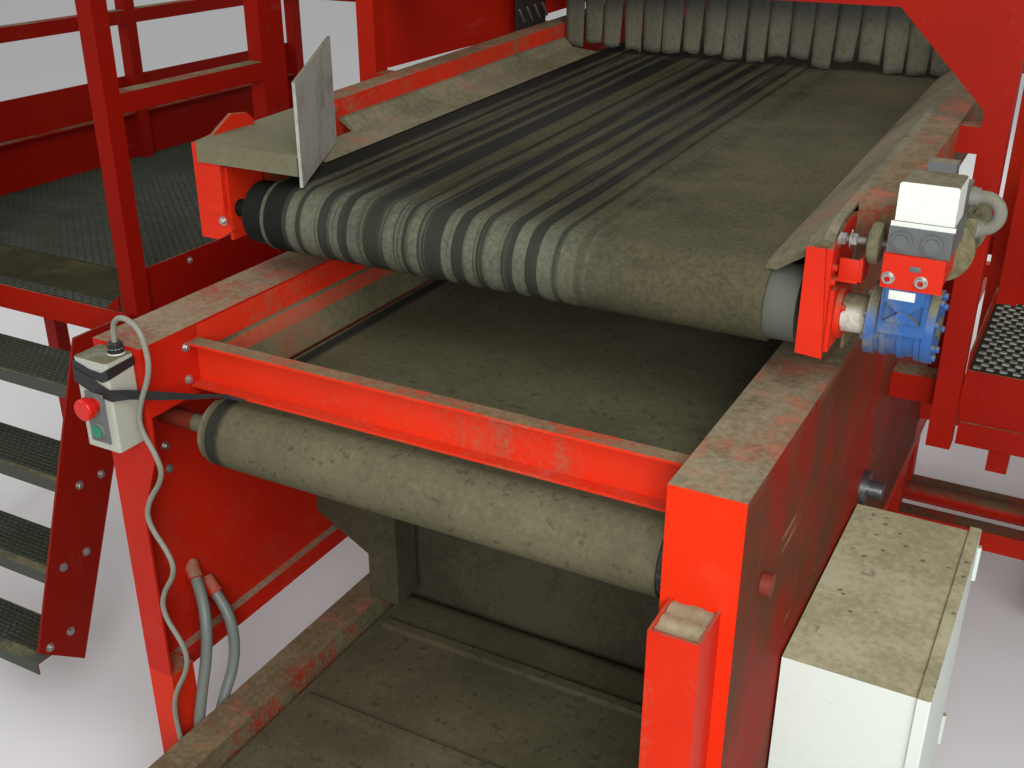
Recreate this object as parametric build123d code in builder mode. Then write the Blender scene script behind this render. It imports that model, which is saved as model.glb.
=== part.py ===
# Clod and stone separator: a towed machine with three belts, one below the other.
# X runs across the belts, +Y towards the drawbar, +Z up, and the floor is Z = 0.
from build123d import *
from math import cos, hypot, pi, radians, sin, tan
import os

os.makedirs("parts", exist_ok=True)

# Plate, clearances and small gaps
SHEET = 5.0          # folded side sheets
THIN = 3.0           # covers, liners and cabinet walls
SEAT = 0.3           # gap where a round face meets another piece

# Upper belt
HEAD_Y = -1250.0     # head drum's axis
HEAD_Z = 1350.0
UPPER_RUN = 2850.0   # between the axes of its two drums
UPPER_SLOPE = 1.7    # degrees, rising to the rear
UPPER_DRUM_R = 62.0
UPPER_DRUM_HALF = 543.0
UPPER_BELT_HALF = 494.0
UPPER_SHIFT = 8.0    # middle of the belt and its drums, from the machine's middle plane
BELT_T = 6.0
SHAFT_R = 17.5
UPPER_WEB_X = 600.0  # inner face of the upper side frames
UPPER_RAIL_W = 60.0
UPPER_RAIL_TOP = {-1: 144.0, 1: 154.0}   # above the drum's axis, on each side
UPPER_RAIL_LOW = {-1: 104.0, 1: 94.0}
SKIRT_EDGE = {-1: 476.0, 1: 492.0}   # lower edge of the skirt on each side
SKIRT_KNEE = (560.0, 80.0)           # fold in the left skirt
SHELF_Z = 1486.0     # top of the deflector shelf

# Middle belt
MID_Y = -1535.0
MID_Z = 1015.0
MID_RUN = 1500.0
MID_DRUM_R = 60.0
MID_DRUM_HALF = 456.0
MID_BELT_HALF = 443.0
MID_SHIFT = 14.0     # middle of the belt, from the machine's middle plane
MID_BELT_T = 5.0
MID_OUT = {-1: 590.0, 1: 602.0}      # outer face of each middle side sheet
LEDGE_EDGE = {-1: 478.0, 1: 490.0}   # inner edge of each ledge
MID_TOP = 1220.0
MID_BOTTOM = 490.0
MID_FRONT = -1665.0
MID_REAR = 100.0
RAIL_Y = -1525.0     # rear face of the front rail
RAIL_LOW = 1104.0
RAIL_HIGH = 1192.0

# Lower flighted belt
LOW_FRONT = -2850.0  # axis of its front drum
LOW_REAR = -1060.0
LOW_Z = 295.0
LOW_DRUM_R = 48.0
LOW_BELT_HALF = 380.0
LOW_BELT_T = 7.0
LOW_RAIL_X = 400.0   # inner face of its side rails
LOW_RAIL_W = 80.0
LOW_RAIL_BOTTOM = 225.0
LOW_RAIL_TOP = 385.0
LOW_COLUMN = 690.0   # top of its rear columns
FLIGHT_PITCH = 298.5
FLIGHT_H = 14.0
FLIGHT_W = 22.0

# Chassis, axle and wheels
CHASSIS_X = 520.0    # inner face of the chassis rails
CHASSIS_W = 70.0
CHASSIS_H = 100.0
CHASSIS_FRONT = -650.0
CHASSIS_REAR = 1750.0
AXLE_Y = 225.0
WHEEL_R = 260.0
WHEEL_W = 200.0
WHEEL_X = 1090.0
AXLE_R = 25.0
CROSS_RAIL_HALF = 950.0
CROSS_RAIL = 60.0
EYE_Y = 2860.0

# Decks
DECK_Z = 1000.0
DECK_T = 35.0
DECK_REAR = 950.0
DECK_OUT = 2200.0    # outer edge of both decks
LEFT_DECK_IN = -1060.0
LEFT_DECK_FRONT = -1160.0
RIGHT_DECK_IN = 755.0
RIGHT_DECK_FRONT = -550.0
PLANK_W = 180.0
TOE_H = 95.0
POST = 45.0
GUARD_TOP = 2000.0
GUARD_MID = 1470.0
GUARD_DOUBLE = -630.0    # front face of the left guard's double post

# Rear housing, over the upper belt's tail
HOUSE_FRONT = 250.0
HOUSE_REAR = 1800.0
HOUSE_X = 700.0
HOUSE_TOP = 1760.0
HOPPER_TOP = 2060.0

# Portal over the upper belt
PORTAL_Y = -600.0
PORTAL_TOP = 1810.0
PORTAL_BEAM = 80.0
TUBE = 50.0          # square tube of the portal and the housing's posts
PANEL_LOW = 1515.0

# Cords
CABLE_R = 5.0
HOSE_R = 12.0
SOCKET_TOP = 285.0   # where the cords go in at the bottom
LIMP = 3.0           # least bend radius of a cord, in diameters


def slab(x0, x1, y0, y1, z0, z1, mode=Mode.ADD):
    """A straight block between two corners."""
    with Locations(((x0 + x1) / 2, (y0 + y1) / 2, (z0 + z1) / 2)):
        Box(abs(x1 - x0), abs(y1 - y0), abs(z1 - z0), mode=mode)


def rod_x(y, z, r, x0, x1, mode=Mode.ADD):
    """A round bar along X."""
    with Locations(((x0 + x1) / 2, y, z)):
        Cylinder(r, abs(x1 - x0), rotation=(0, 90, 0), mode=mode)


def rod_y(x, z, r, y0, y1, mode=Mode.ADD):
    """A round bar along Y."""
    with Locations((x, (y0 + y1) / 2, z)):
        Cylinder(r, abs(y1 - y0), rotation=(90, 0, 0), mode=mode)


def rod_z(x, y, r, z0, z1, mode=Mode.ADD):
    """A round bar along Z."""
    with Locations((x, y, (z0 + z1) / 2)):
        Cylinder(r, abs(z1 - z0), mode=mode)


def plate_x(points, x0, x1, mode=Mode.ADD):
    """A plate whose outline of (y, z) points lies across X."""
    with BuildSketch(Plane.YZ.offset(min(x0, x1)), mode=Mode.PRIVATE) as outline:
        with BuildLine():
            Polyline(*points, close=True)
        make_face()
    extrude(outline.sketch, amount=abs(x1 - x0), mode=mode)


def plate_y(points, y0, y1, mode=Mode.ADD):
    """A plate whose outline of (x, z) points lies across Y."""
    with BuildSketch(Plane.XZ.offset(-max(y0, y1)), mode=Mode.PRIVATE) as outline:
        with BuildLine():
            Polyline(*points, close=True)
        make_face()
    extrude(outline.sketch, amount=abs(y1 - y0), mode=mode)


def plate_z(points, z0, z1, mode=Mode.ADD):
    """A plate whose outline of (x, y) points lies across Z."""
    with BuildSketch(Plane.XY.offset(min(z0, z1)), mode=Mode.PRIVATE) as outline:
        with BuildLine():
            Polyline(*points, close=True)
        make_face()
    extrude(outline.sketch, amount=abs(z1 - z0), mode=mode)


def finish(part, name):
    """Label a finished piece and write it."""
    part.label = name
    export_step(part, f"parts/{name}.step")


def gland(route, r, length):
    """A round gland that ends where a cord begins, in line with the cord's first run."""
    along = Vector(*route[0]) - Vector(*route[1])
    with BuildSketch(Plane(origin=route[0], z_dir=along), mode=Mode.PRIVATE) as disc:
        Circle(r)
    extrude(disc.sketch, amount=length)


def cord(points, r, name):
    """A plain tube of straight runs joined by tangent arcs, each as large as its runs allow."""
    spots = [Vector(*p) for p in points]
    runs = [after - before for before, after in zip(spots, spots[1:])]
    bends = []
    for into, out in zip(runs, runs[1:]):
        turn = radians(into.get_angle(out))
        bends.append(0.45 * min(into.length, out.length) / tan(turn / 2))
    with BuildPart() as tube:
        with BuildLine() as route:
            FilletPolyline(*points, radius=bends)
        with BuildSketch(Plane(origin=points[0], z_dir=runs[0])):
            Circle(r)
        sweep()
    solid = tube.part
    length = route.wires()[0].length
    ratio = solid.volume / (pi * r * r * length)
    print(name, "length", round(length), "volume ratio", round(ratio, 3))
    print("  bend radii", [round(bend) for bend in bends], "least allowed", 2 * r * LIMP)
    finish(solid, name)


def upper_z(y, above=0.0):
    """Height of the upper belt's axis line at a given Y, and what lies above it."""
    return HEAD_Z + (y - HEAD_Y) * tan(radians(UPPER_SLOPE)) + above


# Upper belt and its two drums
TAIL_Y = HEAD_Y + UPPER_RUN * cos(radians(UPPER_SLOPE))
TAIL_Z = HEAD_Z + UPPER_RUN * sin(radians(UPPER_SLOPE))
UPPER_MID = ((HEAD_Y + TAIL_Y) / 2, (HEAD_Z + TAIL_Z) / 2)

with BuildPart() as upper_belt:
    with BuildSketch(Plane.YZ.offset(UPPER_SHIFT - UPPER_BELT_HALF)):
        with Locations(UPPER_MID):
            SlotCenterToCenter(UPPER_RUN, 2 * (UPPER_DRUM_R + SEAT + BELT_T), rotation=UPPER_SLOPE)
            SlotCenterToCenter(UPPER_RUN, 2 * (UPPER_DRUM_R + SEAT), rotation=UPPER_SLOPE, mode=Mode.SUBTRACT)
    extrude(amount=2 * UPPER_BELT_HALF)
finish(upper_belt.part, "upper_belt")

SHAFT_LEFT = -640.0
SHAFT_RIGHT = 757.0
with BuildPart() as upper_head_drum:
    rod_x(HEAD_Y, HEAD_Z, UPPER_DRUM_R, UPPER_SHIFT - UPPER_DRUM_HALF, UPPER_SHIFT + UPPER_DRUM_HALF)
    rod_x(HEAD_Y, HEAD_Z, SHAFT_R, SHAFT_LEFT, SHAFT_RIGHT)
finish(upper_head_drum.part, "upper_head_drum")

with BuildPart() as upper_tail_drum:
    rod_x(TAIL_Y, TAIL_Z, UPPER_DRUM_R, UPPER_SHIFT - UPPER_DRUM_HALF, UPPER_SHIFT + UPPER_DRUM_HALF)
    rod_x(TAIL_Y, TAIL_Z, SHAFT_R, -UPPER_WEB_X - SHEET, UPPER_WEB_X + SHEET)
finish(upper_tail_drum.part, "upper_tail_drum")

# Upper side frames: a web with the tail drum's hole, and a top rail along it
UPPER_FRAME_REAR = TAIL_Y + 110.0
WEB_LOW = -95.0
WEB_FRONT = HEAD_Y + 75.0
LEFT_FRONT = HEAD_Y + 355.0
for name, side, rail_front in (("upper_side_left", -1, LEFT_FRONT), ("upper_side_right", 1, WEB_FRONT)):
    low = UPPER_RAIL_LOW[side]
    high = UPPER_RAIL_TOP[side]
    with BuildPart() as upper_side:
        web = [
            (WEB_FRONT, upper_z(WEB_FRONT, WEB_LOW)),
            (UPPER_FRAME_REAR, upper_z(UPPER_FRAME_REAR, WEB_LOW)),
            (UPPER_FRAME_REAR, upper_z(UPPER_FRAME_REAR, low)),
            (WEB_FRONT, upper_z(WEB_FRONT, low)),
        ]
        rail = [
            (rail_front, upper_z(rail_front, low)),
            (UPPER_FRAME_REAR, upper_z(UPPER_FRAME_REAR, low)),
            (UPPER_FRAME_REAR, upper_z(UPPER_FRAME_REAR, high)),
            (rail_front, upper_z(rail_front, high)),
        ]
        outer = side * (UPPER_WEB_X + SHEET)
        plate_x(web, side * UPPER_WEB_X, outer)
        plate_x(rail, side * UPPER_WEB_X, side * (UPPER_WEB_X + UPPER_RAIL_W))
        rod_x(TAIL_Y, TAIL_Z, SHAFT_R + SEAT, side * (UPPER_WEB_X - 1), outer + side, Mode.SUBTRACT)
    finish(upper_side.part, name)

# Cross members inside the upper belt's loop
with BuildPart() as upper_cross_members:
    for y in (-900.0, -200.0, 500.0, 1200.0):
        slab(-UPPER_WEB_X, UPPER_WEB_X, y - 30, y + 30, upper_z(y) - 25, upper_z(y) + 25)
finish(upper_cross_members.part, "upper_cross_members")

# Skirts between the rails and the belt; the left one has a fold and reaches on before
# its rail, and the right one bends down over the drum
SKIRT_REAR = HOUSE_FRONT - 20
SKIRT_FOOT = UPPER_DRUM_R + SEAT + BELT_T + 3
SKIRT_WRAP = 30.0
SKIRT_START = HEAD_Y + 140.0
knee_x, knee_z = SKIRT_KNEE
LEAN = {
    -1: [
        (-SKIRT_EDGE[-1], SKIRT_FOOT), (-knee_x, knee_z), (14 - UPPER_WEB_X, UPPER_RAIL_LOW[-1]),
        (-UPPER_WEB_X, UPPER_RAIL_LOW[-1]), (-UPPER_WEB_X, UPPER_RAIL_LOW[-1] - 6), (-knee_x - 4, knee_z - 5),
        (-SKIRT_EDGE[-1] - 18, SKIRT_FOOT),
    ],
    1: [
        (SKIRT_EDGE[1], SKIRT_FOOT), (UPPER_WEB_X - 14, UPPER_RAIL_TOP[1]), (UPPER_WEB_X, UPPER_RAIL_TOP[1]),
        (UPPER_WEB_X, UPPER_RAIL_TOP[1] - 6), (SKIRT_EDGE[1] + 18, SKIRT_FOOT),
    ],
}
FLAT = [LEAN[-1][0], LEAN[-1][1], LEAN[-1][5], LEAN[-1][6]]
SKIRTS = (
    (LEAN[-1], LEFT_FRONT, SKIRT_REAR),
    (FLAT, SKIRT_START, LEFT_FRONT),
    (LEAN[1], HEAD_Y, SKIRT_REAR),
)
with BuildPart() as upper_skirts:
    for lean, front, rear in SKIRTS:
        for y in (front, rear):
            with BuildSketch(Plane.XZ.offset(-y)):
                with BuildLine():
                    Polyline(*[(x, upper_z(y, z)) for x, z in lean], close=True)
                make_face()
        loft()
    with BuildSketch(Plane.XZ.offset(-HEAD_Y)):
        with BuildLine():
            Polyline(*[(x, HEAD_Z + z) for x, z in LEAN[1]], close=True)
        make_face()
    revolve(axis=Axis((0, HEAD_Y, HEAD_Z), (1, 0, 0)), revolution_arc=SKIRT_WRAP)
finish(upper_skirts.part, "upper_skirts")

# Bearing brackets that carry the head drum's shaft
BRACKET_LEFT = -665.0
BRACKET_BACK = HEAD_Y - 28.0
BEARING_R = 42.0
with BuildPart() as bearing_brackets:
    face = [
        (BRACKET_LEFT, 1290), (-622, 1290), (-585, 1312), (-598, 1345), (-598, SHELF_Z - 4),
        (BRACKET_LEFT, SHELF_Z - 4),
    ]
    plate_y(face, BRACKET_BACK - 12, BRACKET_BACK)
    slab(-600, -592, BRACKET_BACK, WEB_FRONT, 1290, 1438)
    tab = [
        (BRACKET_BACK, 1290), (WEB_FRONT, 1290), (-1110, 1400), (-1110, 1495), (-1130, 1512), (-1177, 1518),
        (-1235, 1487), (BRACKET_BACK, SHELF_Z - 4),
    ]
    plate_x(tab, BRACKET_LEFT, BRACKET_LEFT + 8)
    rod_x(HEAD_Y, HEAD_Z, BEARING_R, -640, -600)
    plate_y([(562, 1470), (590, 1470), (603, 1297), (562, 1300)], HEAD_Y - 78, HEAD_Y - 70)
    cheek = [
        (HEAD_Y - 70, 1297), (WEB_FRONT, 1310), (WEB_FRONT, 1488), (HEAD_Y, 1488), (HEAD_Y - 35, 1483),
        (HEAD_Y - 70, 1467),
    ]
    plate_x(cheek, 590, 600)
    slab(600, 606, HEAD_Y - 55, WEB_FRONT, 1300, 1400)
    rod_x(HEAD_Y, HEAD_Z, BEARING_R, 606, 614)
    for side in (-1, 1):
        rod_x(HEAD_Y, HEAD_Z, SHAFT_R + SEAT, side * 580, side * 650, Mode.SUBTRACT)
finish(bearing_brackets.part, "bearing_brackets")

# Deflector over the left corner of the belt
DEFLECT_LEFT = -650.0
DEFLECT_Y = -1294.0
DEFLECT_FRONT = (-400.0, DEFLECT_Y)
DEFLECT_REAR = (-545.0, -990.0)
with BuildPart() as deflector_shelf:
    sheet = [
        (DEFLECT_LEFT, DEFLECT_Y), DEFLECT_FRONT, DEFLECT_REAR, (-600, -900), (-690, -920), (-672, -1100),
        (-656.5, -1106), (-656.5, DEFLECT_Y + 10),
    ]
    plate_z(sheet, SHELF_Z - 4, SHELF_Z)
    slab(DEFLECT_LEFT, DEFLECT_FRONT[0] - 4, DEFLECT_Y, DEFLECT_Y + 4, SHELF_Z - 40, SHELF_Z - 4)
finish(deflector_shelf.part, "deflector_shelf")

with BuildPart() as deflector_plate:
    run_x = DEFLECT_REAR[0] - DEFLECT_FRONT[0]
    run_y = DEFLECT_REAR[1] - DEFLECT_FRONT[1]
    length = hypot(run_x, run_y)
    upright = Plane(origin=(*DEFLECT_FRONT, SHELF_Z), x_dir=(run_x, run_y, 0), z_dir=(run_y, -run_x, 0))
    with BuildSketch(upright):
        with BuildLine():
            Polyline((0, -60), (length, -49), (length, 169), (0, 134), close=True)
        make_face()
    extrude(amount=6)
finish(deflector_plate.part, "deflector_plate")

# Gearbox on the right end of the head drum's shaft: a ribbed barrel with bolted end
# covers, and above it a square neck with a hollowed front
GEAR_X0 = 655.0
GEAR_X1 = 753.0
GEAR_R = 56.0
GEAR_FRONT = -1315.0
GEAR_TOP = 1423.0
NECK_X0 = 675.0
NECK_X1 = 741.0
with BuildPart() as gearbox:
    rod_x(HEAD_Y, HEAD_Z, GEAR_R - 5, GEAR_X0 + 5, GEAR_X1 - 5)
    for x in (GEAR_X0, GEAR_X1 - 15):
        rod_x(HEAD_Y, HEAD_Z, GEAR_R, x, x + 15)
        for turn in range(0, 360, 45):
            spot_y = HEAD_Y + (GEAR_R - 9) * cos(radians(turn + 22.5))
            spot_z = HEAD_Z + (GEAR_R - 9) * sin(radians(turn + 22.5))
            rod_x(spot_y, spot_z, 5, x - 5 if x == GEAR_X0 else x + 14, x + 1 if x == GEAR_X0 else x + 20)
    for x in (NECK_X0 + 8, (NECK_X0 + NECK_X1) / 2, NECK_X1 - 8):
        rod_x(HEAD_Y, HEAD_Z, GEAR_R - 1, x - 4, x + 4)
    slab(NECK_X0, NECK_X1, GEAR_FRONT + 4, HEAD_Y + 55, HEAD_Z, GEAR_TOP)
    slab(NECK_X0 + 5, NECK_X1 - 5, GEAR_FRONT, GEAR_FRONT + 5, HEAD_Z + 20, GEAR_TOP)
    middle = (NECK_X0 + NECK_X1) / 2
    for way in (-1, 1):
        pocket = [(middle + way * 7, 1385), (middle + way * 27, 1369), (middle + way * 27, 1402)]
        plate_y(pocket, GEAR_FRONT - 1, GEAR_FRONT + 9, Mode.SUBTRACT)
    rod_y(middle, HEAD_Z + 30, 9, GEAR_FRONT - 3, GEAR_FRONT + 2)
    rod_x(HEAD_Y, HEAD_Z, SHAFT_R + SEAT, GEAR_X0 - 20, GEAR_X1 + 20, Mode.SUBTRACT)
finish(gearbox.part, "gearbox")

with BuildPart() as shaft_cover:
    rod_x(HEAD_Y, HEAD_Z, 30, 614, GEAR_X0 - 5)
    rod_x(HEAD_Y, HEAD_Z, SHAFT_R + SEAT, 600, GEAR_X0, Mode.SUBTRACT)
finish(shaft_cover.part, "shaft_cover")

# Red adapter, glands, terminal box and finned motor, stacked on the gearbox
ADAPTER_TOP = 1474.0
ADAPTER_REAR = -1187.0
BOX_RIGHT = 757.0
BOX_LOW = 1512.0
BOX_TOP = 1575.0
BOX_REAR = -1222.0
GLAND_BOX_TOP = 1550.0
LOOP_Y = -1160.0
LOOP_R = 24.0
LOOP_X = 778.0
LOOP_START = 775.0   # face of the motor's small box that the conduit goes into
LOOP_HIGH = 1530.0
CONDUIT_R = 10.0
with BuildPart() as gear_adapter:
    slab(671, 756, GEAR_FRONT - 4, GEAR_FRONT + 4, GEAR_TOP, ADAPTER_TOP)
    slab(675, 752, GEAR_FRONT + 4, ADAPTER_REAR, GEAR_TOP, ADAPTER_TOP)
    for x in (681, 727):
        rod_y(x, GEAR_TOP + 15, 7, GEAR_FRONT - 10, GEAR_FRONT - 3)
        rod_y(x, GEAR_TOP + 15, 4, GEAR_FRONT - 11, GEAR_FRONT - 6, Mode.SUBTRACT)
finish(gear_adapter.part, "gear_adapter")

with BuildPart() as motor_terminal_block:
    slab(672, 759, GEAR_FRONT + 3, ADAPTER_REAR, ADAPTER_TOP, BOX_LOW)
    for x in (691, 733):
        rod_y(x, ADAPTER_TOP + 19, 15, GEAR_FRONT - 2, GEAR_FRONT + 4)
        rod_y(x, ADAPTER_TOP + 19, 10, GEAR_FRONT - 6, GEAR_FRONT)
    slab(684, BOX_RIGHT, BOX_REAR, LOOP_Y + 20, BOX_LOW, GLAND_BOX_TOP)
    slab(698, 738, BOX_REAR, BOX_REAR + 32, GLAND_BOX_TOP, BOX_TOP + 13)
finish(motor_terminal_block.part, "motor_terminal_block")

with BuildPart() as terminal_box:
    slab(676, BOX_RIGHT, -1302, BOX_REAR, BOX_LOW, BOX_TOP)
    fillet(terminal_box.edges().filter_by(Axis.Y), 5)
    slab(672, BOX_RIGHT + 3, -1306, -1302, BOX_LOW, BOX_LOW + 7)
finish(terminal_box.part, "terminal_box")

MOTOR_X = 728.0
MOTOR_Z = 1450.0
MOTOR_R = 40.0
MOTOR_REAR = -1000.0
FINS = 24
with BuildPart() as drive_motor:
    rod_y(MOTOR_X, MOTOR_Z, MOTOR_R + 11, ADAPTER_REAR, ADAPTER_REAR + 12)
    with BuildSketch(Plane.XZ.offset(-ADAPTER_REAR)):
        with Locations((MOTOR_X, MOTOR_Z)):
            Circle(MOTOR_R)
            with PolarLocations(MOTOR_R + 3, FINS):
                Rectangle(10, 3)
    extrude(amount=-(MOTOR_REAR - ADAPTER_REAR - 50))
    rod_y(MOTOR_X, MOTOR_Z, MOTOR_R + 12, MOTOR_REAR - 50, MOTOR_REAR)
    for turn in range(0, 360, 30):
        vent_x = MOTOR_X + 30 * cos(radians(turn))
        vent_z = MOTOR_Z + 30 * sin(radians(turn))
        rod_y(vent_x, vent_z, 6, MOTOR_REAR - 4, MOTOR_REAR + 1, Mode.SUBTRACT)
    slab(MOTOR_X + 28, LOOP_START, LOOP_Y - 15, LOOP_Y + 15, MOTOR_Z - 5, BOX_LOW - 12)
finish(drive_motor.part, "drive_motor")

# Conduit that loops from the terminal box into the motor
with BuildPart() as conduit_loop:
    with BuildLine() as loop:
        Line((BOX_RIGHT, LOOP_Y, LOOP_HIGH), (LOOP_X, LOOP_Y, LOOP_HIGH))
        turned = (LOOP_X + LOOP_R, LOOP_Y, LOOP_HIGH - LOOP_R)
        ThreePointArc((LOOP_X, LOOP_Y, LOOP_HIGH), turned, (LOOP_X, LOOP_Y, LOOP_HIGH - 2 * LOOP_R))
        Line((LOOP_X, LOOP_Y, LOOP_HIGH - 2 * LOOP_R), (LOOP_START, LOOP_Y, LOOP_HIGH - 2 * LOOP_R))
    with BuildSketch(Plane(origin=(BOX_RIGHT, LOOP_Y, LOOP_HIGH), z_dir=(1, 0, 0))):
        Circle(CONDUIT_R)
    sweep()
finish(conduit_loop.part, "conduit_loop")

# Middle belt and its drums
MID_TAIL_Y = MID_Y + MID_RUN
with BuildPart() as middle_belt:
    with BuildSketch(Plane.YZ.offset(MID_SHIFT - MID_BELT_HALF)):
        with Locations(((MID_Y + MID_TAIL_Y) / 2, MID_Z)):
            SlotCenterToCenter(MID_RUN, 2 * (MID_DRUM_R + SEAT + MID_BELT_T))
            SlotCenterToCenter(MID_RUN, 2 * (MID_DRUM_R + SEAT), mode=Mode.SUBTRACT)
    extrude(amount=2 * MID_BELT_HALF)
finish(middle_belt.part, "middle_belt")

with BuildPart() as middle_drums:
    for y in (MID_Y, MID_TAIL_Y):
        rod_x(y, MID_Z, MID_DRUM_R, MID_SHIFT - MID_DRUM_HALF, MID_SHIFT + MID_DRUM_HALF)
        rod_x(y, MID_Z, SHAFT_R, -MID_OUT[-1] - 15, MID_OUT[1] + 15)
finish(middle_drums.part, "middle_drums")

# Hose glands in the left side sheet, and the routes of all three cords
HOSE_1 = [
    (-565, -1531, 632), (-535, -1548, 608), (-510, -1572, 560), (-505, -1588, 495), (-505, -1615, 420),
    (-505, -1638, 345), (-505, -1638, SOCKET_TOP),
]
HOSE_2 = [
    (-560, -1487, 572), (-538, -1489, 550), (-516, -1496, 515), (-507, -1503, 462), (-505, -1522, 412),
    (-505, -1552, 373), (-505, -1577, 331), (-505, -1577, SOCKET_TOP),
]
GLAND_TOP = 1228.0
CABLE = [
    (-518, -1680, GLAND_TOP), (-518, -1680, 1256), (-503, -1683, 1279), (-476, -1687, 1287), (-446, -1690, 1276),
    (-434, -1690, 1248), (-432, -1690, 1196), (-472, -1690, 1122), (-479, -1690, 1078), (-447, -1690, 1032),
    (-438, -1690, 990), (-488, -1690, 925), (-497, -1690, 878), (-452, -1690, 822), (-446, -1690, 782),
    (-488, -1690, 722), (-494, -1690, 672), (-450, -1690, 614), (-449, -1690, 562), (-496, -1690, 482),
    (-507, -1690, 432), (-505, -1690, 382), (-499, -1690, 335), (-499, -1690, SOCKET_TOP),
]
cord(HOSE_1, HOSE_R, "hose_long")
cord(HOSE_2, HOSE_R, "hose_short")
cord(CABLE, CABLE_R, "control_cable")

# Middle side sheets, folded at the top, bottom and front
FLANGES = {
    -1: [(478, MID_TOP), (478, 1010), (530, 870), (530, MID_BOTTOM), (590, MID_BOTTOM), (590, MID_TOP)],
    1: [(490, MID_TOP), (490, MID_BOTTOM), (602, MID_BOTTOM), (602, MID_TOP)],
}
for name, side in (("middle_side_left", -1), ("middle_side_right", 1)):
    with BuildPart() as middle_side:
        out = side * MID_OUT[side]
        inner = side * (MID_OUT[side] - SHEET)
        edge = side * LEDGE_EDGE[side]
        slab(inner, out, MID_FRONT, MID_REAR, MID_BOTTOM, MID_TOP)
        slab(edge, out, MID_FRONT, MID_REAR, MID_TOP - SHEET, MID_TOP)
        slab(side * (MID_OUT[side] - 25), out, MID_FRONT + 62, CHASSIS_FRONT, MID_BOTTOM - 45, MID_BOTTOM)
        plate_y([(side * x, z) for x, z in FLANGES[side]], MID_FRONT, MID_FRONT + SHEET)
        slab(edge, edge + side * SHEET, MID_FRONT + SHEET, RAIL_Y, 1085, MID_TOP - SHEET)
        if side < 0:
            for route in (HOSE_1, HOSE_2):
                gland(route, HOSE_R + 5, 40)
            slab(out, out - 40, MID_Y - 80, MID_Y + 120, MID_BOTTOM, MID_TOP, Mode.SUBTRACT)
        for y in (MID_Y, MID_TAIL_Y):
            rod_x(y, MID_Z, SHAFT_R + SEAT, inner - side * 5, out + side * 5, Mode.SUBTRACT)
    finish(middle_side.part, name)

# Front posts down to the floor
with BuildPart() as front_posts:
    for side, inner in ((-1, 528), (1, 490)):
        slab(side * MID_OUT[side], side * inner, MID_FRONT, MID_FRONT + 60, 10, MID_BOTTOM)
        slab(side * (MID_OUT[side] + 30), side * (inner - 10), MID_FRONT - 30, MID_FRONT + 90, 0, 10)
finish(front_posts.part, "front_posts")

# Liners between the ledges and the middle belt
with BuildPart() as middle_liners:
    for side in (-1, 1):
        edge = side * LEDGE_EDGE[side]
        foot = MID_SHIFT + side * (MID_BELT_HALF + 4)
        lean = [
            (edge, MID_TOP - SHEET),
            (edge, MID_TOP - 60),
            (foot, MID_Z + MID_DRUM_R + 12),
            (foot, MID_Z + MID_DRUM_R + 8),
            (edge + side * 4, MID_TOP - 64),
            (edge + side * 4, MID_TOP - SHEET),
        ]
        plate_y(lean, RAIL_Y, MID_REAR)
finish(middle_liners.part, "middle_liners")

# Front rail between the side sheets, a channel open to the front
with BuildPart() as front_rail:
    left = -LEDGE_EDGE[-1]
    right = LEDGE_EDGE[1]
    slab(left, right, RAIL_Y - SHEET, RAIL_Y, RAIL_LOW, RAIL_HIGH)
    slab(left, right, RAIL_Y - 30, RAIL_Y - SHEET, RAIL_HIGH - SHEET, RAIL_HIGH)
    slab(left, right, RAIL_Y - 30, RAIL_Y - SHEET, RAIL_LOW, RAIL_LOW + SHEET)
finish(front_rail.part, "front_rail")

# Short post of folded sheet before the right post
SHORT_TOP = 1040.0
with BuildPart() as short_post:
    slab(505, 580, MID_FRONT - 85, MID_FRONT - 80, LOW_RAIL_TOP, SHORT_TOP)
    slab(505, 510, MID_FRONT - 80, MID_FRONT, LOW_RAIL_TOP, SHORT_TOP)
    slab(575, 580, MID_FRONT - 80, MID_FRONT, LOW_RAIL_TOP, SHORT_TOP)
finish(short_post.part, "short_post")

# Lower belt with its flights
LOW_RUN = LOW_REAR - LOW_FRONT
FIRST_FLIGHT = LOW_REAR - 110.0
with BuildPart() as lower_belt:
    with BuildSketch(Plane.YZ.offset(-LOW_BELT_HALF)):
        with Locations(((LOW_FRONT + LOW_REAR) / 2, LOW_Z)):
            SlotCenterToCenter(LOW_RUN, 2 * (LOW_DRUM_R + SEAT + LOW_BELT_T))
            SlotCenterToCenter(LOW_RUN, 2 * (LOW_DRUM_R + SEAT), mode=Mode.SUBTRACT)
    extrude(amount=2 * LOW_BELT_HALF)
    belt_top = LOW_Z + LOW_DRUM_R + SEAT + LOW_BELT_T
    belt_bottom = 2 * LOW_Z - belt_top
    half = LOW_BELT_HALF - 25
    for i in range(int(LOW_RUN // FLIGHT_PITCH)):
        y = FIRST_FLIGHT - i * FLIGHT_PITCH
        slab(-half, half, y - FLIGHT_W / 2, y + FLIGHT_W / 2, belt_top - 1, belt_top + FLIGHT_H)
        slab(-half, half, y - FLIGHT_W / 2, y + FLIGHT_W / 2, belt_bottom - FLIGHT_H, belt_bottom + 1)
finish(lower_belt.part, "lower_belt")

with BuildPart() as lower_drums:
    for y in (LOW_FRONT, LOW_REAR):
        rod_x(y, LOW_Z, LOW_DRUM_R, -LOW_BELT_HALF - 10, LOW_BELT_HALF + 10)
        rod_x(y, LOW_Z, 15, -LOW_RAIL_X - 20, LOW_RAIL_X + 20)
finish(lower_drums.part, "lower_drums")

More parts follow.
